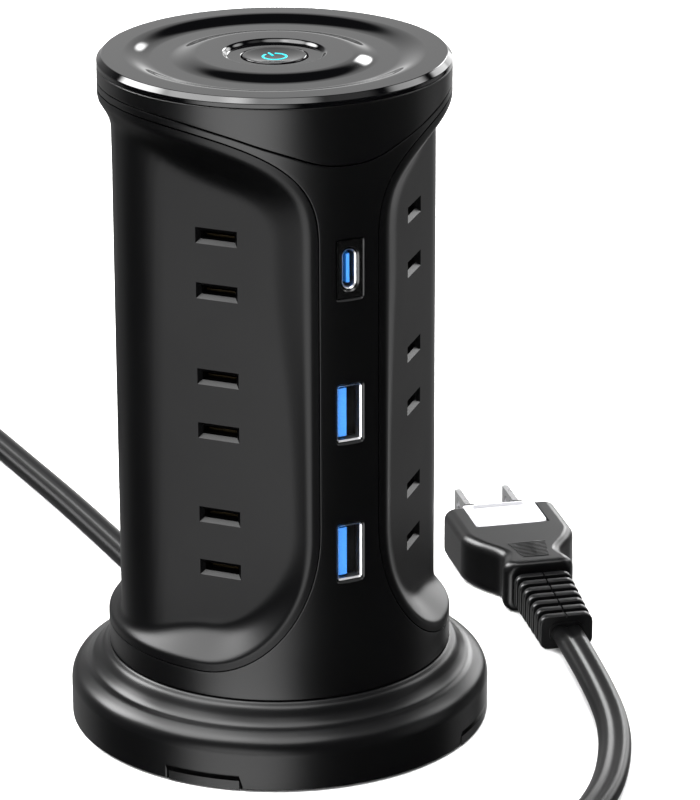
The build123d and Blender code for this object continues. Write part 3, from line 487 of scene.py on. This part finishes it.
def cord_section():
    """Two round cores side by side, with a shallow groove between them: (across, up)."""
    core = cord_thickness / 2
    middle = cord_width / 2 - core
    angles = [radians(a) for a in range(114, -115, -12)]
    right = [(middle + core * cos(a), core * sin(a)) for a in angles]
    left = [(-x, y) for x, y in right[::-1]]
    dip = 1.66  # half of the thickness in the groove
    return [(0, dip)] + right + [(0, -dip)] + left


def tube_mesh(path, section):
    """A section carried along a path that stays nearly level."""
    rings = []
    for i, point in enumerate(path):
        heading = (path[min(i + 1, len(path) - 1)] - path[max(i - 1, 0)]).normalized()
        across = heading.cross(Vector((0, 0, 1))).normalized()
        up = across.cross(heading)
        rings.append([point + across * x + up * y for x, y in section])
    return loft(rings)


cord_path = route_points()
cord_mesh = tube_mesh(cord_path, cord_section())
cord = add_piece(
    "mains_cord", cord_mesh, "cord_jacket", "cord_to_coil", "cord_coil", "cord_to_plug"
)


def tie_mesh():
    """A flat strap round the coil's bundle."""
    half_across, low, high, corner = 8.0, 0.35, 13.3, 2.4
    width, wall, azimuth = 8.9, 0.9, 95
    middle, half_tall = 6.8, 6.5  # of the bundle
    narrower, lower = 1 - wall / half_across, 1 - wall / half_tall
    outline = rounded(rectangle(-half_across, half_across, low, high), corner)
    inside = [(x * narrower, middle + (z - middle) * lower) for x, z in outline]
    place = Matrix.Translation(coil_centre) @ Matrix.Rotation(radians(azimuth), 4, "Z")
    place = place @ Matrix.Translation(((turn_outer + turn_inner) / 2, 0, 0))
    near, far = -width / 2, width / 2
    points = upright(outline, near) + upright(outline, far)
    points += upright(inside, far) + upright(inside, near)
    faces = grid_faces(4, len(outline), close_rows=True, close_columns=True)
    return applied(mesh_from(points, faces, place), edged(0.25), even_shading)


add_piece("coil_tie", tie_mesh(), "foot_rubber")

# ---------------------------------------------------------------- casing of the tower
rim_width = 2.1  # of a panel's edge, level with the tower
corner_steps, straight_steps = 10, 24
arch_split = 20  # degrees of the arch that belong to a panel's side
patch_steps = 2 * corner_steps + straight_steps
# how far inside a panel's outline its rings run, finest at the rim
ring_insets = (
    0, 0.3, 0.7, 1.1, 1.5, 1.8, 2.1, 2.4, 2.7, 3.0, 3.3, 3.7, 4.2, 4.8, 5.4,
    6.0, 6.6, 7.2, 7.8, 8.4, 9.0, 9.8, 10.6, 11.4, 12.4, 13.4, 14.4,
)
low_slope, slope_loss = 1.2, 0.42  # steepness inside the rim: below, and how much less above
slope_change = (60, 120)  # heights between which it loses that
face_blend, rim_blend = 2.0, 0.8  # where the slope meets the flat faces, and the rim
crown_wave = [
    (0, 142.6), (6.6, 143.3), (14.3, 145.9), (18.7, 147.4),
    (24.6, 149.5), (31.5, 151.5), (37.0, 152.6), (42.6, 152.9),
]  # distance from the plane of the columns, height of the crown's lower edge
thick_wall = ("SOLIDIFY", {"thickness": tower_wall * MM, "offset": -1})


def soft_max(a, b, blend):
    """The larger of two values, with a smooth change where they are within blend of each other."""
    near = max(blend - abs(a - b), 0) / blend
    return max(a, b) + near * near * blend / 4


def soft_min(a, b, blend):
    return -soft_max(-a, -b, blend)


def panel_sides(inset):
    """The seam of a side panel on the unrolled tower, drawn in by inset: four sides that meet in
    its corners, anticlockwise from the lower right; points (round the tower, height)."""
    half, wide, low = panel_half - inset, panel_corner_width - inset, panel_corner_low - inset
    bottom, spring = panel_bottom + inset, panel_top - panel_arch

    def lower(t):
        return (half - wide * (1 - sin(t)), bottom + low * (1 - cos(t)))

    def upper(t):
        power = 2 / arch_power
        along = half * abs(cos(t)) ** power
        return (along if t < pi / 2 else -along, spring + (panel_arch - inset) * sin(t) ** power)

    def spread(curve, start, end, steps):
        return [curve(radians(start + (end - start) * k / steps)) for k in range(steps)]

    def straight(start, end):
        return [
            tuple(p + (q - p) * k / straight_steps for p, q in zip(start, end))
            for k in range(straight_steps)
        ]

    right = spread(lower, 45, 90, corner_steps) + straight(lower(pi / 2), upper(0))
    right += spread(upper, 0, arch_split, corner_steps)
    over = spread(upper, arch_split, 180 - arch_split, patch_steps)
    left = [(-s, z) for s, z in right[1:] + [over[0]]][::-1]
    under = [(-s, z) for s, z in spread(lower, 45, 0, corner_steps)]
    under += straight((-lower(0)[0], bottom), lower(0)) + spread(lower, 0, 45, corner_steps)
    return right, over, left, under


def panel_loop(inset):
    return [point for side in panel_sides(inset) for point in side]


def patch(sides):
    """A grid of points that fills the space inside four sides."""
    right, over, left, under = sides
    right, over = right + [over[0]], over + [left[0]]
    left, under = left + [under[0]], under + [right[0]]
    count = patch_steps
    rows = []
    for i in range(count + 1):
        v = i / count
        row = []
        for j in range(count + 1):
            u = j / count
            low, high = Vector(under[j]), Vector(over[count - j])
            near, far = Vector(left[count - i]), Vector(right[i])
            corners = (
                Vector(under[0]) * (1 - u) * (1 - v) + Vector(under[count]) * u * (1 - v)
                + Vector(over[count]) * (1 - u) * v + Vector(over[0]) * u * v
            )
            row.append(tuple(low * (1 - v) + high * v + near * (1 - u) + far * u - corners))
        rows.append(row)
    return rows


def section_radius(angle):
    """How far a panel's plan is from the axis: two flat faces with a round corner between them."""
    angle, turn = abs(angle), radians(face_turn)
    hub = (face_distance - corner_radius) / cos(turn)
    if angle < turn - atan(hub * sin(turn) / face_distance):
        return hub * cos(angle) + sqrt(corner_radius**2 - (hub * sin(angle)) ** 2)
    return face_distance / cos(angle - turn)


def panel_radius(along, height, inset):
    """The panel's surface: a rim level with the tower, a slope inside it, and the flat faces."""
    steepness = low_slope - slope_loss * smooth_step(height, *slope_change)
    slope = tower_radius - (inset - rim_width) * steepness
    surface = soft_max(section_radius(along / tower_radius), slope, face_blend)
    return soft_min(surface, tower_radius, rim_blend)


def on_tower(along, height, middle, radius=tower_radius):
    """A point of the unrolled tower, rolled up; middle is the azimuth at along = 0, in degrees."""
    angle = radians(middle) + along / tower_radius
    return (radius * cos(angle), radius * sin(angle), height)


def outward(mesh):
    """Turns a sheet's faces away from the tower's axis."""
    turn = sum(face.normal.dot(Vector((*face.center.xy, 0))) * face.area for face in mesh.polygons)
    if turn < 0:
        mesh.flip_normals()
    return mesh


def slot_cutter(azimuth, height, width, tall, bevel, distance, corner=0.0):
    """The space of a slot with bevelled edges, in the wall that looks along azimuth."""
    stand_out, depth = 0.9, 5.0

    def ring(grow, out):
        x, y = width / 2 + grow, tall / 2 + grow
        outline = rectangle(-x, x, -y, y)
        return level(rounded(outline, corner + max(0, grow), 4) if corner else outline, out)

    place = Matrix.Translation((0, 0, height)) @ azimuth_place(azimuth, distance)
    return loft([ring(stand_out, stand_out), ring(-bevel, -bevel), ring(-bevel, -depth)], place)


def side_panel(side):
    """A side panel: rings that follow its outline, and a patch of its two faces inside them."""
    middle = {"left": 180, "right": 0}[side]
    insets = [seam + inset for inset in ring_insets]
    past_slope = insets[-1] + 3  # where the slope lies below the flat faces
    points = []
    for inset in insets:
        points += [on_tower(s, z, middle, panel_radius(s, z, inset)) for s, z in panel_loop(inset)]
    faces = grid_faces(len(insets), 4 * patch_steps, close_columns=True)
    start = len(points)
    for row in patch(panel_sides(insets[-1])):
        points += [on_tower(s, z, middle, panel_radius(s, z, past_slope)) for s, z in row]
    faces += grid_faces(patch_steps + 1, patch_steps + 1, start=start)
    sheet = outward(mesh_from(points, faces))
    slots = [
        slot_cutter(azimuth, height + up * pole_pitch / 2, *slot_size, face_distance)
        for azimuth in face_azimuths[side]
        for height in outlet_heights
        for up in (1, -1)
    ]
    mesh = carved(applied(sheet, thick_wall, edged(0.18, angle=55)), cut_by(*slots))
    add_piece(f"{side}_side_cover", mesh, "panel_plastic", f"{side}_panel")


def crown_edge(angle):
    """Height of the crown's lower edge at an angle from a side panel's middle."""
    x = tower_radius * abs(cos(angle))
    slopes = [0.0] + [
        (c[1] - a[1]) / (c[0] - a[0]) for a, c in zip(crown_wave, crown_wave[2:])
    ] + [0.0]
    for k in range(len(crown_wave) - 1):
        (x0, z0), (x1, z1) = crown_wave[k : k + 2]
        if x <= x1:
            break
    span = x1 - x0
    w0, w1, w2, w3 = hermite((x - x0) / span)
    return w0 * z0 + w1 * span * slopes[k] + w2 * z1 + w3 * span * slopes[k + 1]


def tower_frame():
    """The columns and the ring under the panels: the tower's wall around the two panel outlines."""
    quarter = tower_radius * pi / 2
    bottom, column_top = base_top + 2 * seam, crown_edge(pi / 2) - seam
    steps = 7
    window_distance, window_corner = tower_radius - 0.45, 0.5
    right, over, left, under = panel_sides(-seam)
    low_corner, high_corner = right[0], over[0]

    def beside(height):
        """The height in the middle of a column for a height on a panel's outline."""
        t = (height - low_corner[1]) / (high_corner[1] - low_corner[1])
        return bottom + t * (column_top - bottom)

    inner = right + over + left + under
    outer = [(quarter, beside(z)) for s, z in right]
    for s, z in over:
        along = s + (quarter - high_corner[0]) * (s / high_corner[0]) ** 3
        outer.append((along, crown_edge(along / tower_radius) - seam))
    outer += [(-quarter, beside(z)) for s, z in left]
    outer += [(quarter * s / low_corner[0], bottom) for s, z in under]
    points, faces = [], []
    for middle in (180, 0):
        start = len(points)
        for k in range(steps + 1):
            t = k / steps
            points += [
                on_tower(s + (u - s) * t, z + (w - z) * t, middle)
                for (s, z), (u, w) in zip(inner, outer)
            ]
        faces += grid_faces(steps + 1, len(inner), close_columns=True, start=start)
    sheet = outward(mesh_from(points, faces))
    windows = [
        slot_cutter(270, height, port_width, port_length, 0.0, window_distance, window_corner)
        for height in port_heights
    ]
    mesh = carved(applied(sheet, thick_wall, edged(0.18, angle=55)), cut_by(*windows))
    add_piece("tower_frame", mesh, "tower_plastic", "frame_shell")


def crown_ring():
    """The plain ring between the frame's wavy edge and the cap."""
    count, rows = 240, 6
    points = []
    for row in range(rows + 1):
        for k in range(count):
            angle = 2 * pi * k / count
            low = crown_edge(angle) + seam
            height = low + (cap_seam - low) * row / rows
            points.append((tower_radius * cos(angle), tower_radius * sin(angle), height))
    sheet = outward(mesh_from(points, grid_faces(rows + 1, count, close_columns=True)))
    mesh = applied(sheet, thick_wall, edged(0.2, angle=55), even_shading)
    add_piece("crown_ring", mesh, "tower_plastic", "crown")


def s_curve(start, end, steps=10):
    """A smooth step of a profile from one level to another, with both ends."""
    return [
        (
            start[0] + (end[0] - start[0]) * k / steps,
            start[1] + (end[1] - start[1]) * smooth_step(k, 0, steps),
        )
        for k in range(steps + 1)
    ]


def cap_piece():
    """The glossy cap: a rim, a wide groove, a raised disc and the recess of the button."""
    hole, recess, disc, groove = 7.5, cap_top - 1.1, cap_top - 0.2, cap_top - 1.3
    recess_out, disc_in, disc_out = 10.4, 11.8, 17.4
    groove_in, groove_out, rim_in, rim_out, rim_low = 23.4, 27.5, 33.8, 38.45, cap_top - 1.15
    under, spigot_in, spigot_out, spigot_low = cap_seam + 0.1, 34.6, 36.9, 155.3
    profile = rounded([(spigot_in, under), (hole, under), (hole, recess)], [0, 0.1, 0.25], 3)
    profile += s_curve((recess_out, recess), (disc_in, disc))
    profile += s_curve((disc_out, disc), (groove_in, groove), 16)
    profile += s_curve((groove_out, groove), (rim_in, cap_top), 16)
    edge = [(rim_out, cap_top), (tower_radius, rim_low), (tower_radius, under), (spigot_out, under)]
    edge = [profile[-1], *edge, (spigot_out, spigot_low), (spigot_in, spigot_low)]
    profile += rounded(edge, [0, 0.35, 0.35, 0.2, 0, 0, 0], 4)[1:]
    add_piece("cap", applied(revolved(profile, 288), even_shading), "cap_plastic", "top_cap")


def button_piece():
    """The push button: a dished top with a rounded rim, on a flange that holds it in the cap."""
    radius, top, dish, dish_share = 7.2, 157.5, 0.5, 0.92
    flange, flange_top, flange_low = 8.6, 155.6, 154.6
    crown = [(radius * dish_share * k / 10, top - dish * (1 - (k / 10) ** 2)) for k in range(11)]
    rim = [(radius, top), (radius, flange_top)]
    rim += [(flange, flange_top), (flange, flange_low), (0, flange_low)]
    rim = rounded([crown[-1], *rim], [0, 0.35, 0, 0.2, 0, 0], 4)
    mesh = applied(revolved(crown + rim[1:], 96), even_shading)
    add_piece("push_button", mesh, "button_plastic", "power_button", body="power_button")


def button_sign():
    """The lit sign: an open ring with a bar in its gap, a hair above the dish."""
    radius, stroke, low, high = 2.9, 0.55, 156.9, 157.16
    bar_start, bar_end, gap, steps = 0.75, 3.5, radians(24), 40
    section = ((0, low), (0, high), (stroke, high), (stroke, low))
    rings = []
    for k in range(steps + 1):
        angle = pi / 2 + gap + (2 * pi - 2 * gap) * k / steps
        rings.append([
            ((radius - inward) * cos(angle), (radius - inward) * sin(angle), height)
            for inward, height in section
        ])
    bar = rounded(rectangle(-stroke / 2, stroke / 2, bar_start, bar_end), 0.2, 3)
    mesh = applied(joined([loft(rings), prism(bar, low, high)]), edged(0.05))
    add_piece("button_sign", mesh, "light_guide", "button_light", body="power_button")


def base_piece():
    """The base: a straight skirt, a rolled shoulder, a valley and a flare up to the tower."""
    skirt_low, skirt_high = 0.75, 4.0
    flare = [
        (base_radius, 8.6), (47.7, 11.4), (45.4, 13.2), (43.7, 13.9),
        (42.3, 15.4), (41.0, 17.3), (tower_radius, base_top),
    ]
    inside = [
        (23, base_top), (23, 16.1), (37.4, 16.1), (40.2, 13.2), (43.0, 11.6),
        (45.4, 9.6), (46.3, 7.4), (46.3, 0.6), (48.45, 0.6),
    ]
    notch_in, notch_out, notch_half, notch_top = 44.0, 52.0, 8.65, 2.75
    exit_in, exit_out, exit_half, exit_low, exit_high = 42.0, 54.0, 5.7, 2.65, 8.25
    profile = [(base_radius, skirt_low), (base_radius, skirt_high)]
    profile += smooth_through(flare, (0, 1), (-0.8, 1), 6) + inside
    notch = rectangle(notch_in, notch_out, -notch_half, notch_half)
    notches = [
        prism(notch, -1, notch_top, Matrix.Rotation(radians(azimuth), 4, "Z"))
        for azimuth in (45, 135, 225, 315)
    ]
    exit_slot = prism(rectangle(-exit_half, exit_half, exit_in, exit_out), exit_low, exit_high)
    mesh = applied(revolved(profile, 288), cut_by(*notches, exit_slot), even_shading)
    add_piece("base", mesh, "base_plastic", "base_shell")


side_panel("left")
side_panel("right")
tower_frame()
crown_ring()
cap_piece()
button_piece()
button_sign()
base_piece()

# ---------------------------------------------------------------- USB sockets
# a block round a port: outer size, inner size, back, floor and front, chamfer of the mouth;
# a size is half width, half length, corner radius; the rest are distances from the axis
usb_a_block = ((2.95, 6.55, 0.6), (2.6, 6.2, 0.3), (27.2, 27.8, 39.1), 0.35)
usb_c_block = ((1.65, 4.55, 1.6), (1.35, 4.25, 1.3), (27.2, 27.8, 39.1), 0.3)
bezel_block = ((3.05, 6.65, 0.4), (1.7, 4.6, 1.65), (34.6, 30.0, 39.3), 0.6)
# dark blocks of painted shade in the empty depth of a socket: left edge, right edge, half length
usb_a_shade_block, usb_c_shade_block = (-0.15, 2.5, 6.0), (-1.2, 1.2, 4.0)
shade_block_back, shade_block_front = 28.0, 36.6


def port_place(height):
    """From a drawing of a port (x across, y up, z outwards) to its place in the front column."""
    return Matrix.Translation((0, 0, height)) @ azimuth_place(270)


def port_block(height, outer, inner, depths, chamfer):
    """A block round a port with a bevelled opening."""
    back, floor, front = depths

    def ring(size, out, grow=0.0):
        x, y, radius = (value + grow for value in size)
        return level(rounded(rectangle(-x, x, -y, y), radius), out)

    place = port_place(height)
    block = loft([ring(outer, back), ring(outer, front)], place)
    opening = [ring(inner, floor), ring(inner, front - chamfer)]
    opening.append(ring(inner, front + chamfer, 2 * chamfer))
    return carved(block, cut_by(loft(opening, place)))


def port_shade_block(height, left, right, half_length):
    """A dark block of painted shade in a socket's empty depth, beside its tongue."""
    outline = rectangle(left, right, -half_length, half_length)
    return prism(outline, shade_block_back, shade_block_front, port_place(height))


def usb_sockets():
    """Steel shells with bevelled mouths, the upper port's bezel, and a dark block of painted shade
    in the depth of each.
    """
    usb_c, *usb_a = port_heights
    shells = joined([port_block(height, *usb_a_block) for height in usb_a])
    add_piece("usb_a_sockets", shells, "port_steel", "usb_a_shell_upper", "usb_a_shell_lower")
    add_piece("usb_c_socket", port_block(usb_c, *usb_c_block), "port_steel", "usb_c_shell")
    add_piece("usb_c_surround", port_block(usb_c, *bezel_block), "bezel_plastic", "usb_c_bezel")
    # near-black blocks fill the sockets' empty depths as painted shade
    depths = [port_shade_block(height, *usb_a_shade_block) for height in usb_a]
    depths.append(port_shade_block(usb_c, *usb_c_shade_block))
    add_piece("socket_painted_shade", joined(depths), "contact_plastic")


usb_sockets()

# ---------------------------------------------------------------- plug
plug_place = Matrix.Translation(plug_tail) @ Matrix.Rotation(-plug_heading, 4, "Z")
carrier_half, carrier_low = 9.4, 50.6  # half of its width, where its face begins along the plug
pocket_half, pocket_floor = carrier_half + 0.15, 1.4
grip_lines = 11
# the carrier's outline as it rises: height, where it begins along the plug
carrier_rise = (
    (1.8, 55.2), (2.3, 53.9), (3.0, 52.9), (4.0, 51.9), (5.5, 51.04),
    (7.8, carrier_low), (12.5, carrier_low), (12.75, carrier_low + 0.06),
    (12.93, carrier_low + 0.2), (13.0, carrier_low + 0.42),
)
carrier_edge = 12.5  # height above which its edge is rounded off all round
# the sunk panel in its upper face: half width, start, end, height
sunk_panel = ((6.9, 55.4, 64.9, 12.15), (7.15, 53.3, 65.1, 12.95), (7.6, 52.9, 65.5, 13.4))


def box_outline(half_x, low, high, radius, steps=5):
    """A rounded rectangle about the plug's middle line."""
    return rounded(rectangle(-half_x, half_x, low, high), radius, steps)


def grip_mesh(k):
    """The k-th of the fine raised lines on the housing's upper face; they get longer."""
    start, length, half_start, half_growth = 28.6, 8.9, 3.25, 1.55
    line_width, root, crest = 0.28, plug_thickness - 0.3, plug_thickness + 0.16
    along = start + length * k / (grip_lines - 1)
    half = half_start + half_growth * k / (grip_lines - 1)
    return prism(rectangle(-half, half, along, along + line_width), root, crest, plug_place)


def housing_piece():
    """The plug's housing: a wide head, a waist, and the pocket of the blade carrier."""
    corner, round_off, sweep = 2.7, 2.4, 8.2  # the sweep clears the carrier as it swings
    # along the plug, half width, how far the upper and lower faces are drawn in
    stations = [(relief_length, 7.1, 1.0), (relief_length + 0.3, 7.8, 0.4)]
    stations.append((relief_length + 1.0, 8.4, 0.05))
    waist = [(26.6, 8.9), (33.2, 7.8), (41.0, 12.4), (47.2, 14.6)]
    stations += [(y, x, 0) for y, x in smooth_through(waist, (1, 0.1), (1, 0.1), 8)]
    for step in range(7):
        turn = radians(15 * step)
        inset = round_off * (1 - cos(turn))
        stations.append((plug_end - round_off * (1 - sin(turn)), plug_width / 2 - inset, inset))
    rings = [
        upright(box_outline(half, inset, plug_thickness - inset, corner), y)
        for y, half, inset in stations
    ]
    pocket_outline = box_outline(pocket_half, carrier_low - 0.2, 80, [2.6, 2.6, 0, 0], 4)
    pocket = prism(pocket_outline, pocket_floor, 20, plug_place)
    turns = [radians(a) for a in range(0, 360, 10)]
    swing = [
        (hinge_along + sweep * cos(a), max(pocket_floor, hinge_up + sweep * sin(a))) for a in turns
    ]
    side = loft([[(x, y, z) for y, z in swing] for x in (-pocket_half, pocket_half)], plug_place)
    body = carved(loft(rings, plug_place), cut_by(pocket), cut_by(side), angle=40)
    grip = [grip_mesh(k) for k in range(grip_lines)]
    add_piece("plug_housing", joined([body, *grip]), "plug_plastic", "plug_body")


def carrier_piece():
    """The swinging carrier of the blades: a white block with a raised rim round a sunk panel."""
    slot_half, slot_half_tall, slot_floor, slot_end = 0.75, 3.15, plug_end - 4.1, 70
    rings = []
    for height, low in carrier_rise:
        shrink = low - carrier_low if height > carrier_edge else 0
        outline = box_outline(carrier_half - shrink, low, plug_end - shrink, [2.5, 2.5, 0.6, 0.6])
        rings.append(level(outline, height))
    panel = [
        level(box_outline(half, low, high, 1.0, 4), height)
        for half, low, high, height in sunk_panel
    ]
    blade_slots = [
        prism(rectangle(x - slot_half, x + slot_half, slot_floor, slot_end),
              hinge_up - slot_half_tall, hinge_up + slot_half_tall, plug_place)
        for x in (-pole_pitch / 2, pole_pitch / 2)
    ]
    cuts = [cut_by(loft(panel, plug_place)), cut_by(*blade_slots)]
    mesh = carved(loft(rings, plug_place), *cuts, angle=45)
    add_piece("blade_holder", mesh, "carrier_plastic", "swing_carrier", body="plug_blades")


def relief_piece():
    """The plug's strain relief: a core with a row of ribs, slit along its upper face."""
    ribs, first_rib, pitch, thick, edge = 7, 0.35, 3.42, 1.95, 0.3
    rib_width, width_growth, rib_tall, tall_growth = 13.2, 1.4, 8.5, 1.0
    tail_level, head_level = 4.3, plug_thickness / 2  # of the middle line
    rib_corner, edge_corner = 2.1, 1.9
    # of the core at its two ends: along the plug, width, height, corner radius
    core_tail, core_head = (0.02, 8.6, 5.2, 2.0), (relief_length + 0.4, 8.8, 5.4, 2.0)
    slit_half, slit_start, slit_end, slit_floor, slit_top = 0.2, 0.2, 23.6, 8.1, 14

    def ring(along, width, tall, radius):
        middle = tail_level + (head_level - tail_level) * (along / relief_length)
        outline = box_outline(width / 2, middle - tall / 2, middle + tall / 2, radius, 4)
        return upright(outline, along)

    def rib(low):
        t = low / relief_length
        width, tall = rib_width + width_growth * t, rib_tall + tall_growth * t
        slim, short = width - 2 * edge, tall - 2 * edge
        return loft([
            ring(low, slim, short, edge_corner),
            ring(low + edge, width, tall, rib_corner),
            ring(low + thick - edge, width, tall, rib_corner),
            ring(low + thick, slim, short, edge_corner),
        ], plug_place)

    core = loft([ring(*core_tail), ring(*core_head)], plug_place)
    slit_outline = rectangle(-slit_half, slit_half, slit_start, slit_end)
    slit = prism(slit_outline, slit_floor, slit_top, plug_place)
    slit_ribs = [applied(rib(first_rib + pitch * k), cut_by(slit)) for k in range(ribs)]
    mesh = applied(crisp(joined([core, *slit_ribs]), 50), even_shading)
    add_piece("plug_strain_relief", mesh, "plug_plastic", "plug_relief")


housing_piece()
carrier_piece()
relief_piece()


def add_floor():
    half = 4000
    mesh = mesh_from(level(rectangle(-half, half, -half, half), 0), [(0, 1, 2, 3)])
    floor = bpy.data.objects.new("floor", mesh)
    bpy.context.collection.objects.link(floor)
    mesh.materials.append(moulded("floor_paint", (0.9, 0.9, 0.9), 0.7, grain=60, tint=0.01))
    floor.visible_glossy = False


def add_light(name, place, target, size, power):
    data = bpy.data.lights.new(name, "AREA")
    data.shape = "RECTANGLE"
    data.size, data.size_y = size
    data.energy = power
    light = bpy.data.objects.new(name, data)
    light.location = place
    light.rotation_euler = (Vector(target) - Vector(place)).to_track_quat("-Z", "Y").to_euler()
    light.visible_glossy = False
    bpy.context.collection.objects.link(light)


# the lit parts of the studio: azimuth, elevation, bright half-angle, outer half-angle, radiance
studio_lights = [
    (223.5, -16, 6, 40, 3.6),
    (92, -12, 10, 48, 0.3),
    (56, -14, 8, 26, 0.8),
    (240, 72, 10, 24, 5.0),
    (168, 60, 10, 26, 9.0),
    (70, 14, 12, 24, 0.65),
    (52, 19, 2, 7, 12.0),
    (44, 22, 2, 7, 9.0),
    (130, 36, 6, 18, 18.0),
    (27, 18, 5, 12, 5.0),
    (1, 36, 5, 16, 5.0),
    (8, -16, 4, 22, 0.35),
    (320, 58, 6, 18, 0.6),
    (42, 5, 4, 14, 3.0),
    (330, 10, 6, 22, 0.5),
]
unlit = 0.01  # radiance of the rest of it


def add_world():
    """A dark studio with soft lights, each a round area of the sky that fades towards its edge."""
    world = bpy.data.worlds.new("studio")
    world.use_nodes = True
    nodes, links = world.node_tree.nodes, world.node_tree.links
    place = nodes.new("ShaderNodeTexCoord")
    total = None
    for azimuth, elevation, inner, outer, radiance in studio_lights:
        flat = cos(radians(elevation))
        facing = nodes.new("ShaderNodeVectorMath")
        facing.operation = "DOT_PRODUCT"
        facing.inputs[1].default_value = (
            flat * cos(radians(azimuth)), flat * sin(radians(azimuth)), sin(radians(elevation))
        )
        fade = nodes.new("ShaderNodeMapRange")
        fade.interpolation_type = "SMOOTHERSTEP"
        fade.inputs["From Min"].default_value = cos(radians(outer))
        fade.inputs["From Max"].default_value = cos(radians(inner))
        fade.inputs["To Max"].default_value = radiance
        links.new(place.outputs["Generated"], facing.inputs[0])
        links.new(facing.outputs["Value"], fade.inputs["Value"])
        if total is None:
            total = fade.outputs["Result"]
            continue
        more = nodes.new("ShaderNodeMath")
        more.operation = "ADD"
        links.new(total, more.inputs[0])
        links.new(fade.outputs["Result"], more.inputs[1])
        total = more.outputs["Value"]
    faint = nodes.new("ShaderNodeMath")
    faint.operation = "ADD"
    faint.inputs[1].default_value = unlit
    links.new(total, faint.inputs[0])
    links.new(faint.outputs["Value"], nodes["Background"].inputs["Strength"])
    nodes["Background"].inputs["Color"].default_value = (1, 1, 1, 1)
    bpy.context.scene.world = world


add_floor()
add_world()
add_light("overhead", place=(0.2, 0.3, 2.2), target=(0, 0.1, 0), size=(3.4, 3.4), power=100)
add_light("front", place=(-1.6, -2.2, 1.8), target=(0, 0, 0), size=(2.4, 2.4), power=60)
bpy.context.scene.view_settings.view_transform = "Standard"

for cutter in cutters:
    bpy.data.objects.remove(cutter)
